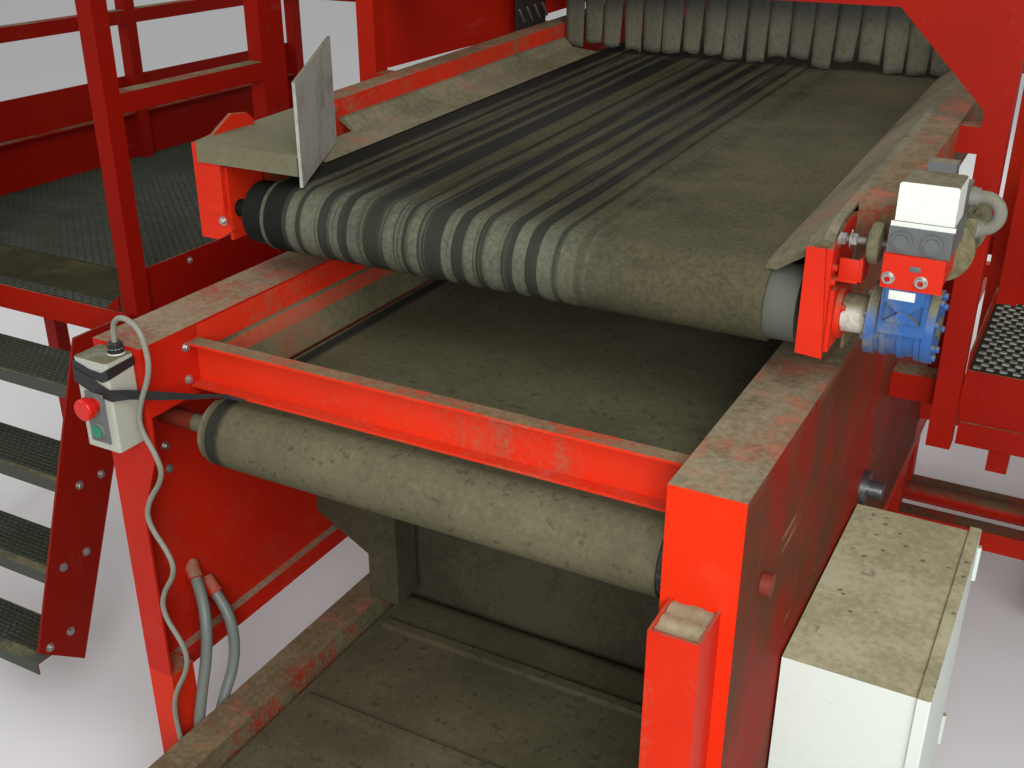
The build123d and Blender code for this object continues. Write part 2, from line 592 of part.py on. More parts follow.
# Its side rails on four feet; the left one has the shelf that the cords end in
LOW_END_FRONT = LOW_FRONT - 60.0
LOW_END_REAR = LOW_REAR + 110.0
for name, side in (("lower_side_left", -1), ("lower_side_right", 1)):
    with BuildPart() as lower_side:
        near = side * LOW_RAIL_X
        far = side * (LOW_RAIL_X + LOW_RAIL_W)
        slab(near, far, LOW_END_FRONT, LOW_END_REAR, LOW_RAIL_BOTTOM, LOW_RAIL_TOP)
        hollow = (LOW_RAIL_BOTTOM + SHEET, LOW_RAIL_TOP - SHEET, Mode.SUBTRACT)
        slab(near + side * SHEET, far, LOW_END_FRONT, LOW_END_REAR, *hollow)
        for y in (LOW_FRONT + 60, LOW_REAR + 40):
            slab(near, near + side * 60, y, y + 60, 0, LOW_RAIL_BOTTOM)
        for y in (LOW_FRONT, LOW_REAR):
            rod_x(y, LOW_Z, 15 + SEAT, near - side * 5, near + side * 25, Mode.SUBTRACT)
        if side < 0:
            slab(-526, near, -1715, -1530, SOCKET_TOP - 40, SOCKET_TOP - 28)
            for route, r in ((HOSE_1, HOSE_R + 5), (HOSE_2, HOSE_R + 5), (CABLE, CABLE_R + 4)):
                x, y, z = route[-1]
                rod_z(x, y, r, z - 30, z)
    finish(lower_side.part, name)

# Wall behind the lower belt, between two folded columns with gussets
WALL_Y = -998.0
COLUMN_Y = -1130.0
with BuildPart() as lower_back_wall:
    slab(-LOW_RAIL_X, LOW_RAIL_X, WALL_Y, WALL_Y + 4, 300, LOW_RAIL_TOP)
    slab(-420, 420, WALL_Y, WALL_Y + 4, LOW_RAIL_TOP, 880)
    for side in (-1, 1):
        slab(side * 415, side * 420, COLUMN_Y, WALL_Y, LOW_RAIL_TOP, LOW_COLUMN)
        slab(side * 340, side * 420, COLUMN_Y, COLUMN_Y + SHEET, LOW_RAIL_TOP, LOW_COLUMN)
        slab(side * 340, side * 345, COLUMN_Y, COLUMN_Y + 80, LOW_RAIL_TOP, LOW_COLUMN)
        gusset = [(side * 585, LOW_COLUMN), (side * 585, 560), (side * 420, 468), (side * 420, LOW_COLUMN)]
        plate_y(gusset, COLUMN_Y + 30, COLUMN_Y + 34)
finish(lower_back_wall.part, "lower_back_wall")

# Chassis rails with cross members, axle beams and wheels
CHASSIS_LOW = MID_BOTTOM - CHASSIS_H
with BuildPart() as chassis_rails:
    for side in (-1, 1):
        outer = side * (CHASSIS_X + CHASSIS_W)
        slab(side * CHASSIS_X, outer, CHASSIS_FRONT, CHASSIS_REAR, CHASSIS_LOW, MID_BOTTOM)
    for y in (CHASSIS_FRONT, 500.0, 1200.0):
        slab(-CHASSIS_X, CHASSIS_X, y, y + CROSS_RAIL, CHASSIS_LOW + 20, CHASSIS_LOW + 80)
finish(chassis_rails.part, "chassis_rails")

with BuildPart() as axle_frame:
    for y in (AXLE_Y - 95, AXLE_Y + 95):
        slab(-CROSS_RAIL_HALF, CROSS_RAIL_HALF, y - CROSS_RAIL / 2, y + CROSS_RAIL / 2, 190, 250)
        for side in (-1, 1):
            slab(side * CHASSIS_X, side * (CHASSIS_X + CHASSIS_W), y - 30, y + 30, 250, CHASSIS_LOW)
    for side in (-1, 1):
        slab(side * 935, side * CROSS_RAIL_HALF, AXLE_Y - 125, AXLE_Y + 125, 190, 330)
    rod_x(AXLE_Y, WHEEL_R, AXLE_R, -1130, 1130)
finish(axle_frame.part, "axle_frame")

# Tyres with two grooves, and dished rims with a hub
RIM_R = 160.0
HALF_W = WHEEL_W / 2
TYRE = [
    (RIM_R, -HALF_W + 12), (WHEEL_R - 45, -HALF_W), (WHEEL_R - 12, -HALF_W + 8), (WHEEL_R, -HALF_W + 28),
    (WHEEL_R, -30), (WHEEL_R - 8, -27), (WHEEL_R - 8, -21), (WHEEL_R, -18), (WHEEL_R, 18), (WHEEL_R - 8, 21),
    (WHEEL_R - 8, 27), (WHEEL_R, 30), (WHEEL_R, HALF_W - 28), (WHEEL_R - 12, HALF_W - 8),
    (WHEEL_R - 45, HALF_W), (RIM_R, HALF_W - 12),
]
RIM = [
    (RIM_R, -HALF_W + 12), (RIM_R, HALF_W - 12), (RIM_R - 10, HALF_W - 12), (RIM_R - 18, HALF_W - 30),
    (RIM_R - 25, 30), (70, 24), (60, 45), (AXLE_R + SEAT, 45), (AXLE_R + SEAT, -60), (50, -60), (50, 10),
    (RIM_R - 25, 14), (RIM_R - 18, -HALF_W + 30), (RIM_R - 10, -HALF_W + 12),
]
for end, side in (("left", -1), ("right", 1)):
    seat = Location((side * WHEEL_X, AXLE_Y, WHEEL_R), (0, 0, -90 * side))
    for piece, profile in (("tyre", TYRE), ("rim", RIM)):
        with BuildPart() as turned:
            with BuildSketch(Plane.XY):
                with BuildLine():
                    Polyline(*profile, close=True)
                make_face()
            revolve(axis=Axis.Y)
            if piece == "rim":
                with Locations(Plane.XZ):
                    with PolarLocations(105, 6):
                        Hole(14)
        finish(seat * turned.part, f"{piece}_{end}")

# Drawbar with its eye and the parking jack
BAR_LOW = MID_BOTTOM - 90
BAR_HIGH = MID_BOTTOM - 10
EYE_LOW = MID_BOTTOM - 68
EYE_HIGH = MID_BOTTOM - 32
with BuildPart() as drawbar:
    reach = CHASSIS_X + CHASSIS_W
    slab(-reach, reach, CHASSIS_REAR, CHASSIS_REAR + 70, CHASSIS_LOW, MID_BOTTOM)
    for side in (-1, 1):
        arm = [
            (side * 500, CHASSIS_REAR + 70), (side * 430, CHASSIS_REAR + 70), (side * 20, EYE_Y - 220),
            (side * 20, EYE_Y - 120), (side * 40, EYE_Y - 120),
        ]
        plate_z(arm, BAR_LOW, BAR_HIGH)
    slab(-40, 40, EYE_Y - 240, EYE_Y - 60, BAR_LOW + 5, BAR_HIGH - 5)
    rod_z(0, EYE_Y, 45, EYE_LOW, EYE_HIGH)
    slab(-30, 30, EYE_Y - 70, EYE_Y - 30, EYE_LOW, EYE_HIGH)
    rod_z(0, EYE_Y, 22, EYE_LOW - 2, EYE_HIGH + 2, Mode.SUBTRACT)
finish(drawbar.part, "drawbar")

JACK_Y = EYE_Y - 100.0
JACK_X = 95.0
JACK_LEG_R = 26.0
JACK_TOP = 720.0
with BuildPart() as jack_tube:
    rod_z(JACK_X, JACK_Y, 35, 250, JACK_TOP)
    slab(40, JACK_X - 20, JACK_Y - 18, JACK_Y + 30, 410, 470)
    rod_z(JACK_X, JACK_Y, JACK_LEG_R + SEAT, 240, JACK_TOP - 20, Mode.SUBTRACT)
    rod_z(JACK_X, JACK_Y, 12, JACK_TOP, JACK_TOP + 30)
    slab(JACK_X - 9, JACK_X + 130, JACK_Y - 9, JACK_Y + 9, JACK_TOP + 22, JACK_TOP + 32)
    rod_z(JACK_X + 120, JACK_Y, 12, JACK_TOP + 32, JACK_TOP + 110)
finish(jack_tube.part, "jack_tube")

with BuildPart() as jack_leg:
    rod_z(JACK_X, JACK_Y, JACK_LEG_R, 10, 460)
    rod_z(JACK_X, JACK_Y, 80, 0, 10)
finish(jack_leg.part, "jack_leg")

# Cabinet on the right side, its door hinged at the rear edge
CAB_X0 = 606.0
CAB_X1 = 830.0
CAB_Y0 = -1350.0
CAB_Y1 = -780.0
CAB_Z0 = 150.0
CAB_Z1 = 750.0
HINGE_X = CAB_X1 + 22.0
HINGE_Y = CAB_Y1 + 16.0
KNUCKLE = 40.0
with BuildPart() as cabinet:
    slab(CAB_X0, CAB_X1, CAB_Y0, CAB_Y1, CAB_Z0, CAB_Z1)
    slab(CAB_X0 + THIN, CAB_X1 + 1, CAB_Y0 + THIN, CAB_Y1 - THIN, CAB_Z0 + THIN, CAB_Z1 - THIN, Mode.SUBTRACT)
    for y in (CAB_Y0 + 60, CAB_Y1 - 90):
        slab(MID_OUT[1], CAB_X0, y, y + 40, MID_BOTTOM, CAB_Z1 - 30)
    for z in (CAB_Z0 + 40, CAB_Z1 - 80):
        low = z + SEAT
        high = z + KNUCKLE - SEAT
        rod_z(HINGE_X, HINGE_Y, 7, low, high)
        slab(CAB_X1 - 40, HINGE_X - 6, HINGE_Y - 5, HINGE_Y + 5, low, high)
        slab(CAB_X1 - 40, CAB_X1 - 2, CAB_Y1, HINGE_Y + 5, low, high)
finish(cabinet.part, "cabinet")

with BuildPart() as cabinet_door:
    slab(CAB_X1 + SEAT, HINGE_X, CAB_Y0 - 8, CAB_Y1 + 8, CAB_Z0 - 6, CAB_Z1 + 6)
    fillet(cabinet_door.edges().filter_by(Axis.Z).sort_by(Axis.X)[-2:], 4)
    slab(HINGE_X - 2, HINGE_X + 22, CAB_Y0 + 20, CAB_Y0 + 60, 470, 520)
    for z in (CAB_Z0 + 80, CAB_Z1 - 120):
        rod_z(HINGE_X, HINGE_Y, 7, z, z + KNUCKLE)
        slab(HINGE_X - 12, HINGE_X, CAB_Y1 + 7, HINGE_Y, z, z + KNUCKLE)
finish(cabinet_door.part, "cabinet_door")

# Drive shaft stub through the right side sheet
STUB_AT = (-735.0, 767.0)
with BuildPart() as shaft_stub:
    rod_x(*STUB_AT, 20, MID_OUT[1], MID_OUT[1] + 45)
    rod_x(*STUB_AT, 38, MID_OUT[1], MID_OUT[1] + 14)
finish(shaft_stub.part, "shaft_stub")

# Stop box on the left front post, with its gland and two buttons
STOP_FRONT = MID_FRONT - 62.0
STOP_X = -533.0
STOP_TOP = 1212.0
with BuildPart() as stop_box:
    slab(STOP_X - 39, STOP_X + 39, STOP_FRONT, MID_FRONT, 1042, STOP_TOP)
    fillet(stop_box.edges().filter_by(Axis.Z), 5)
    rod_z(CABLE[0][0], CABLE[0][1], 12, STOP_TOP, GLAND_TOP - 6)
    rod_z(CABLE[0][0], CABLE[0][1], 9, STOP_TOP, GLAND_TOP)
finish(stop_box.part, "stop_box")

with BuildPart() as stop_button:
    rod_y(STOP_X, 1130, 12, STOP_FRONT - 22, STOP_FRONT)
    rod_y(STOP_X, 1130, 20, STOP_FRONT - 34, STOP_FRONT - 18)
    fillet(stop_button.edges().sort_by(Axis.Y)[0], 5)
finish(stop_button.part, "stop_button")

with BuildPart() as start_button:
    rod_y(STOP_X - 2, 1078, 12, STOP_FRONT - 9, STOP_FRONT)
finish(start_button.part, "start_button")

# Decks of grip planks
DECK_LOW = DECK_Z - DECK_T
DECKS = (
    ("left_deck", -1, LEFT_DECK_IN, LEFT_DECK_FRONT, 65.0),
    ("right_deck", 1, RIGHT_DECK_IN, RIGHT_DECK_FRONT, 173.0),
)
BOARD_T = 4.0
for name, side, near, front, _ in DECKS:
    with BuildPart() as deck:
        slab(near, side * DECK_OUT, front + BOARD_T, DECK_REAR, DECK_LOW, DECK_Z)
        seams = int((DECK_OUT - abs(near)) // PLANK_W)
        for i in range(1, seams + 1):
            x = near + side * i * PLANK_W
            slab(x - 2, x + 2, front, DECK_REAR + 1, DECK_Z - 6, DECK_Z + 1, Mode.SUBTRACT)
    finish(deck.part, name)

# Red frames below the decks: bearers on a foot and outer legs, and a front board; the
# right board has a lower flange, a square socket below it and an upright strip inside
BEARER = 60.0
LEG_X = DECK_OUT - 90.0
LEG_FOOT = 30.0
FLANGE_H = 53.0
SOCKET = (825.0, 868.0)
SOCKET_H = 52.0
with BuildPart() as deck_frames:
    for _, side, near, front, board in DECKS:
        for y in (PORTAL_Y + TUBE, 600.0):
            slab(side * MID_OUT[side], side * (DECK_OUT - 40), y, y + BEARER, DECK_LOW - BEARER, DECK_LOW)
            slab(side * LEG_X, side * (LEG_X + TUBE), y, y + TUBE, 10, DECK_LOW - BEARER)
            spread = (y - LEG_FOOT, y + TUBE + LEG_FOOT)
            slab(side * (LEG_X - LEG_FOOT), side * (LEG_X + TUBE + LEG_FOOT), *spread, 0, 10)
        foot = side * (CHASSIS_X + 20)
        slab(foot, foot + side * BEARER, 600, 600 + BEARER, MID_BOTTOM, DECK_LOW - BEARER)
        slab(near, side * DECK_OUT, front, front + BOARD_T, DECK_Z - board, DECK_Z)
    right_low = DECK_Z - DECKS[1][-1]
    slab(RIGHT_DECK_IN, DECK_OUT, RIGHT_DECK_FRONT - 6, RIGHT_DECK_FRONT, right_low, right_low + FLANGE_H)
    slab(*SOCKET, RIGHT_DECK_FRONT, RIGHT_DECK_FRONT + TUBE, right_low - SOCKET_H, right_low)
    slab(RIGHT_DECK_IN - 4, RIGHT_DECK_IN, RIGHT_DECK_FRONT, DECK_REAR, DECK_LOW, DECK_Z + 40)
finish(deck_frames.part, "deck_frames")

# Guard rails; the left deck's outer side is closed below, with a ledge along it
GUARD_IN = LEFT_DECK_IN - 15.0
STEPS_OUT = -1600.0
OUTER_CLOSED = 1290.0
OUTER_LEDGE = 1160.0
with BuildPart() as left_guard:
    stations = (
        (GUARD_IN, LEFT_DECK_FRONT), (GUARD_IN, GUARD_DOUBLE), (GUARD_IN, GUARD_DOUBLE + POST + 3),
        (STEPS_OUT - POST, LEFT_DECK_FRONT), (-DECK_OUT, LEFT_DECK_FRONT), (-DECK_OUT, 0),
        (-DECK_OUT, DECK_REAR - POST), (GUARD_IN, DECK_REAR - POST),
    )
    for x, y in stations:
        slab(x, x + POST, y, y + POST, DECK_Z, GUARD_TOP)
    for z in (GUARD_MID, GUARD_TOP - POST):
        slab(GUARD_IN, GUARD_IN + POST, LEFT_DECK_FRONT, GUARD_DOUBLE + 2 * POST + 3, z, z + POST)
        slab(-DECK_OUT, -DECK_OUT + POST, LEFT_DECK_FRONT, DECK_REAR, z, z + POST)
        slab(-DECK_OUT, GUARD_IN + POST, DECK_REAR - POST, DECK_REAR, z, z + POST)
        slab(-DECK_OUT, STEPS_OUT, LEFT_DECK_FRONT, LEFT_DECK_FRONT + POST, z, z + POST)
    slab(LEFT_DECK_IN, LEFT_DECK_IN + 4, LEFT_DECK_FRONT, DECK_REAR, DECK_LOW, DECK_Z + TOE_H)
    slab(-DECK_OUT, -DECK_OUT + 4, LEFT_DECK_FRONT, DECK_REAR, DECK_Z, OUTER_CLOSED)
    slab(-DECK_OUT + 4, -DECK_OUT + 34, LEFT_DECK_FRONT, DECK_REAR, OUTER_LEDGE, OUTER_LEDGE + 5)
finish(left_guard.part, "left_guard")

# The right deck's guard, with a fence across the deck beside the drive
RIGHT_GUARD_IN = RIGHT_DECK_IN + 100.0
FENCE_Y = -100.0
FENCE_END = 1300.0
FENCE_RAIL = (1354.0, 1414.0)
with BuildPart() as right_guard:
    stations = (
        (DECK_OUT - POST, RIGHT_DECK_FRONT + BOARD_T), (DECK_OUT - POST, DECK_REAR - POST),
        (RIGHT_GUARD_IN, DECK_REAR - POST), (RIGHT_DECK_IN, FENCE_Y), (FENCE_END - POST, FENCE_Y),
    )
    for x, y in stations:
        slab(x, x + POST, y, y + POST, DECK_Z, GUARD_TOP)
    for z in (GUARD_MID, GUARD_TOP - POST):
        slab(DECK_OUT - POST, DECK_OUT, RIGHT_DECK_FRONT + BOARD_T, DECK_REAR, z, z + POST)
        slab(RIGHT_GUARD_IN, DECK_OUT, DECK_REAR - POST, DECK_REAR, z, z + POST)
    slab(RIGHT_DECK_IN, FENCE_END, FENCE_Y, FENCE_Y + POST, *FENCE_RAIL)
    slab(RIGHT_DECK_IN, FENCE_END, FENCE_Y, FENCE_Y + POST, GUARD_TOP - POST, GUARD_TOP)
    slab(RIGHT_DECK_IN, FENCE_END, FENCE_Y + 20, FENCE_Y + 24, DECK_Z, FENCE_RAIL[0])
finish(right_guard.part, "right_guard")

# Steps that hang from the left deck, between two sloping stringers
STRINGER_REAR = ((LEFT_DECK_FRONT, DECK_Z), (-1462.0, 190.0))
STRINGER_FRONT = ((-1326.0, DECK_Z), (-1582.0, 289.0))
TREAD_TOPS = (890.0, 680.0, 470.0, 260.0)
TREAD_H = 32.0


def on_line(line, z):
    """Y at a given height on a sloping line."""
    (y0, z0), (y1, z1) = line
    return y0 + (y1 - y0) * (z - z0) / (z1 - z0)


with BuildPart() as steps:
    stringer = [
        (LEFT_DECK_FRONT, DECK_Z), (LEFT_DECK_FRONT, DECK_Z - 70), STRINGER_REAR[1], STRINGER_FRONT[1],
        STRINGER_FRONT[0],
    ]
    for x in (LEFT_DECK_IN - 6, STEPS_OUT):
        plate_x(stringer, x, x + 6)
    for top in TREAD_TOPS:
        rear = on_line(STRINGER_REAR, top) - 12
        front = on_line(STRINGER_FRONT, top) + 4
        slab(STEPS_OUT + 6, LEFT_DECK_IN - 6, front, rear, top - 4, top)
        slab(STEPS_OUT + 6, LEFT_DECK_IN - 6, front, front + 4, top - TREAD_H, top - 4)
        slab(STEPS_OUT + 6, LEFT_DECK_IN - 6, rear - 4, rear, top - TREAD_H, top - 4)
finish(steps.part, "steps")

# Rear housing with outside ribs
FACE_LOW = 1640.0
with BuildPart() as rear_housing:
    for side in (-1, 1):
        foot = [(y, upper_z(y, UPPER_RAIL_TOP[side] + 10)) for y in (HOUSE_FRONT, HOUSE_REAR)]
        wall = [*foot, (HOUSE_REAR, HOUSE_TOP), (HOUSE_FRONT, HOUSE_TOP)]
        plate_x(wall, side * HOUSE_X, side * (HOUSE_X - SHEET))
        slab(side * HOUSE_X, side * 664, HOUSE_FRONT, HOUSE_FRONT + SHEET, foot[0][1], FACE_LOW)
        for y in (700.0, 1250.0):
            rib_low = upper_z(y, UPPER_RAIL_TOP[side] + 20)
            slab(side * HOUSE_X, side * (HOUSE_X + 30), y, y + 30, rib_low, HOUSE_TOP)
    slab(-HOUSE_X, HOUSE_X, HOUSE_REAR - SHEET, HOUSE_REAR, 1300, HOUSE_TOP)
    slab(-HOUSE_X, HOUSE_X, HOUSE_FRONT, HOUSE_FRONT + SHEET, FACE_LOW, HOUSE_TOP)
finish(rear_housing.part, "rear_housing")

# Hopper with flared walls and a rim
FLARE = 100.0
MOUTH_FRONT = HOUSE_FRONT + 600.0
RIM_H = 40.0
with BuildPart() as infeed_hopper:
    for side in (-1, 1):
        wall = [
            (side * HOUSE_X, HOUSE_TOP), (side * (HOUSE_X - SHEET), HOUSE_TOP),
            (side * (HOUSE_X + FLARE - SHEET), HOPPER_TOP), (side * (HOUSE_X + FLARE), HOPPER_TOP),
        ]
        plate_y(wall, MOUTH_FRONT, HOUSE_REAR)
        rim_x = side * (HOUSE_X + FLARE - SHEET)
        slab(rim_x, rim_x + side * 30, MOUTH_FRONT, HOUSE_REAR + FLARE, HOPPER_TOP - RIM_H, HOPPER_TOP)
    rear_wall = [
        (HOUSE_REAR - SHEET, HOUSE_TOP), (HOUSE_REAR, HOUSE_TOP),
        (HOUSE_REAR + FLARE, HOPPER_TOP), (HOUSE_REAR + FLARE - SHEET, HOPPER_TOP),
    ]
    plate_x(rear_wall, -HOUSE_X, HOUSE_X)
    rear_rim = HOUSE_REAR + FLARE - SHEET
    reach = HOUSE_X + FLARE + 25
    slab(-reach, reach, rear_rim, rear_rim + 30, HOPPER_TOP - RIM_H, HOPPER_TOP)
    slab(-HOUSE_X, HOUSE_X, HOUSE_FRONT, MOUTH_FRONT, HOUSE_TOP, HOUSE_TOP + SHEET)
    slab(-HOUSE_X, HOUSE_X, MOUTH_FRONT, MOUTH_FRONT + SHEET, HOUSE_TOP, HOPPER_TOP)
    slab(-reach, reach, MOUTH_FRONT - 30, MOUTH_FRONT, HOPPER_TOP - RIM_H, HOPPER_TOP)
finish(infeed_hopper.part, "infeed_hopper")

# Portal over the upper belt, and the posts that carry the housing
BEAM_LOW = PORTAL_TOP - PORTAL_BEAM
POST_LOW = 830.0
TUBE_OUT = HOUSE_X + TUBE
SIDE_LOW = 1700.0
with BuildPart() as portal_frame:
    slab(-TUBE_OUT, TUBE_OUT, PORTAL_Y, PORTAL_Y + TUBE, BEAM_LOW, PORTAL_TOP)
    for side in (-1, 1):
        slab(side * HOUSE_X, side * TUBE_OUT, PORTAL_Y, PORTAL_Y + TUBE, POST_LOW, BEAM_LOW)
        slab(side * HOUSE_X, side * TUBE_OUT, PORTAL_Y + TUBE, HOUSE_FRONT + TUBE, SIDE_LOW, SIDE_LOW + TUBE)
        arm = (upper_z(PORTAL_Y, UPPER_RAIL_LOW[side] + 4), upper_z(PORTAL_Y, UPPER_RAIL_TOP[side] - 4))
        slab(side * (UPPER_WEB_X + UPPER_RAIL_W), side * TUBE_OUT, PORTAL_Y, PORTAL_Y + TUBE, *arm)
    plate_y([(520, BEAM_LOW), (HOUSE_X, BEAM_LOW), (HOUSE_X, BEAM_LOW - 180)], PORTAL_Y, PORTAL_Y + 8)
finish(portal_frame.part, "portal_frame")

with BuildPart() as housing_posts:
    for side in (-1, 1):
        for y in (HOUSE_FRONT, HOUSE_REAR - 150):
            slab(side * HOUSE_X, side * TUBE_OUT, y, y + TUBE, MID_BOTTOM, SIDE_LOW)
            slab(side * (CHASSIS_X + 10), side * TUBE_OUT, y, y + TUBE, MID_BOTTOM, MID_BOTTOM + TUBE)
            arm = (upper_z(y, UPPER_RAIL_LOW[side] + 4), upper_z(y, UPPER_RAIL_TOP[side] - 4))
            slab(side * (UPPER_WEB_X + UPPER_RAIL_W), side * TUBE_OUT, y, y + TUBE, *arm)
finish(housing_posts.part, "housing_posts")

with BuildPart() as side_panel:
    slab(-HOUSE_X, -HOUSE_X + 4, PORTAL_Y + TUBE, HOUSE_FRONT - 95, PANEL_LOW, PORTAL_TOP - 10)
    slab(-HOUSE_X - 20, -HOUSE_X, PORTAL_Y + TUBE, HOUSE_FRONT - 95, PORTAL_TOP - 14, PORTAL_TOP - 10)
finish(side_panel.part, "side_panel")

# Curtain of slit rubber strips under its clamping bar
CURTAIN_HALF = 590.0
STRIPS = 19
BAR_Z = 1690.0
with BuildPart() as infeed_curtain:
    pitch = 2 * CURTAIN_HALF / STRIPS
    slab(-CURTAIN_HALF, CURTAIN_HALF, HOUSE_FRONT - 14, HOUSE_FRONT, BAR_Z, BAR_Z + 50)
    for i in range(STRIPS):
        x = -CURTAIN_HALF + i * pitch
        slab(x + 2, x + pitch - 2, HOUSE_FRONT - 10, HOUSE_FRONT - 4, upper_z(HOUSE_FRONT) + 72, BAR_Z)
finish(infeed_curtain.part, "infeed_curtain")
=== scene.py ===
# %% [markdown]
# This lesson dresses a clod and stone separator: a red farm machine with three belts, covered in
# dry soil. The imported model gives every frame, drum and sheet at its real size. Here each surface
# gets its finish, and the bolts, strips, cables and fine edges are added.

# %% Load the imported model
import bpy, bmesh, math, random
from mathutils import Matrix, Vector


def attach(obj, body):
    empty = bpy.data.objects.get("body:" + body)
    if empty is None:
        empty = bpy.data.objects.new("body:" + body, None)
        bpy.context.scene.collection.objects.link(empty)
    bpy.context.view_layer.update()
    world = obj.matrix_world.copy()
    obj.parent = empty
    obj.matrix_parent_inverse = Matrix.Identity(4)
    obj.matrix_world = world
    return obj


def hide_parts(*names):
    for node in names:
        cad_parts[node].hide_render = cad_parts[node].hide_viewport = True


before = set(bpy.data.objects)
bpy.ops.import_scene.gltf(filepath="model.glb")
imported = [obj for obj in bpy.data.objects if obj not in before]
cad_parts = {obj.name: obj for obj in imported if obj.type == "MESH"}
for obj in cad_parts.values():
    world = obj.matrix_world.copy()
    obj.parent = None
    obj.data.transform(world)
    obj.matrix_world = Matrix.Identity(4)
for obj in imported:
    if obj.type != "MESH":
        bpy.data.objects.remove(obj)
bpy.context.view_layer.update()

# %% [markdown]
# The photograph looks down from the right of the discharge end. One camera with a fitted place,
# turn and lens repeats that view, so that a piece can be compared with the photograph.

# %% Camera
HEAD = Vector((0.0, -1.25, 1.35))            # the upper head drum's axis
CAMERA_AT = HEAD + Vector((0.927, -1.672, 0.635))
YAW, PITCH = 28.26, 25.11                    # degrees, to the left and down
FOCAL_PX, IMAGE_W, IMAGE_H = 1120.1, 1024, 768

camera_data = bpy.data.cameras.new("camera")
camera_data.sensor_width = 36.0
camera_data.lens = FOCAL_PX * 36.0 / IMAGE_W
camera_data.clip_start, camera_data.clip_end = 0.02, 60.0
camera = bpy.data.objects.new("camera", camera_data)
camera.location = CAMERA_AT
camera.rotation_euler = (math.radians(90 - PITCH), 0.0, math.radians(YAW))
bpy.context.scene.collection.objects.link(camera)
bpy.context.scene.camera = camera
print("lens", round(camera_data.lens, 2))

# %% [markdown]
# The floor is plain and pale. Large soft lamps stand right, left and behind, a smaller one is near
# the camera as the photograph's flash was, and a pale world fills the shadows.

# %% Floor and light
bpy.context.scene.view_settings.view_transform = "Standard"
world = bpy.data.worlds.new("world")
bpy.context.scene.world = world
world.use_nodes = True
backdrop = world.node_tree.nodes["Background"].inputs
backdrop["Color"].default_value = (0.9, 0.9, 0.9, 1.0)
backdrop["Strength"].default_value = 0.5

floor_mesh = bpy.data.meshes.new("floor")
shape = bmesh.new()
bmesh.ops.create_grid(shape, x_segments=1, y_segments=1, size=30.0)
shape.to_mesh(floor_mesh)
shape.free()
floor = bpy.data.objects.new("floor", floor_mesh)
bpy.context.scene.collection.objects.link(floor)
LAMPS = (                                    # name, place and size in metres, watts
    ("key", (3.5, -5.0, 5.5), 3.5, 112.0),
    ("fill", (-4.5, -3.0, 4.5), 5.0, 50.0),
    ("front", (1.3, -3.9, 2.1), 1.1, 31.0),
    ("rear", (-2.0, 6.0, 5.0), 4.0, 90.0),
)
LIT_POINT, SPREAD = Vector((0, 0, 0.8)), math.radians(130)
for name, place, size, power in LAMPS:
    lamp_data = bpy.data.lights.new(name, "AREA")
    lamp_data.size, lamp_data.energy, lamp_data.spread = size, power, SPREAD
    lamp = bpy.data.objects.new(name, lamp_data)
    lamp.location = place
    lamp.rotation_euler = (LIT_POINT - Vector(place)).to_track_quat("-Z", "Y").to_euler()
    bpy.context.scene.collection.objects.link(lamp)
print(len(LAMPS), "lamps")

# %% [markdown]
# Shader maths reads best as plain sums. A small class wraps one socket, and its operators add the
# Math nodes that a finish needs, so dust, wear and paint can be written in a few lines.

# %% A socket that sums can be written with
class Link:
    """One output of a material's node."""
    def __init__(self, finish, socket):
        self.finish, self.socket = finish, socket
    def sum(self, operation, *values):
        slots = dict(enumerate(values))
        return self.finish.node("ShaderNodeMath", {"operation": operation}, slots)
    def __add__(self, other): return self.sum("ADD", self, other)
    def __sub__(self, other): return self.sum("SUBTRACT", self, other)
    def __rsub__(self, other): return self.sum("SUBTRACT", other, self)
    def __mul__(self, other): return self.sum("MULTIPLY", self, other)
    def step(self, low, high):
        """0 below low, 1 above high, smooth between."""
        values = {0: self, 1: low, 2: high}
        return self.finish.node("ShaderNodeMapRange", {"interpolation_type": "SMOOTHSTEP"}, values)
    def between(self, low, high, soft):
        """1 between low and high, 0 outside, with soft edges."""
        return self.step(low - soft, low + soft) * (1.0 - self.step(high - soft, high + soft))
    def clamp(self):
        return self.sum("MINIMUM", self.sum("MAXIMUM", self, 0.0), 1.0)


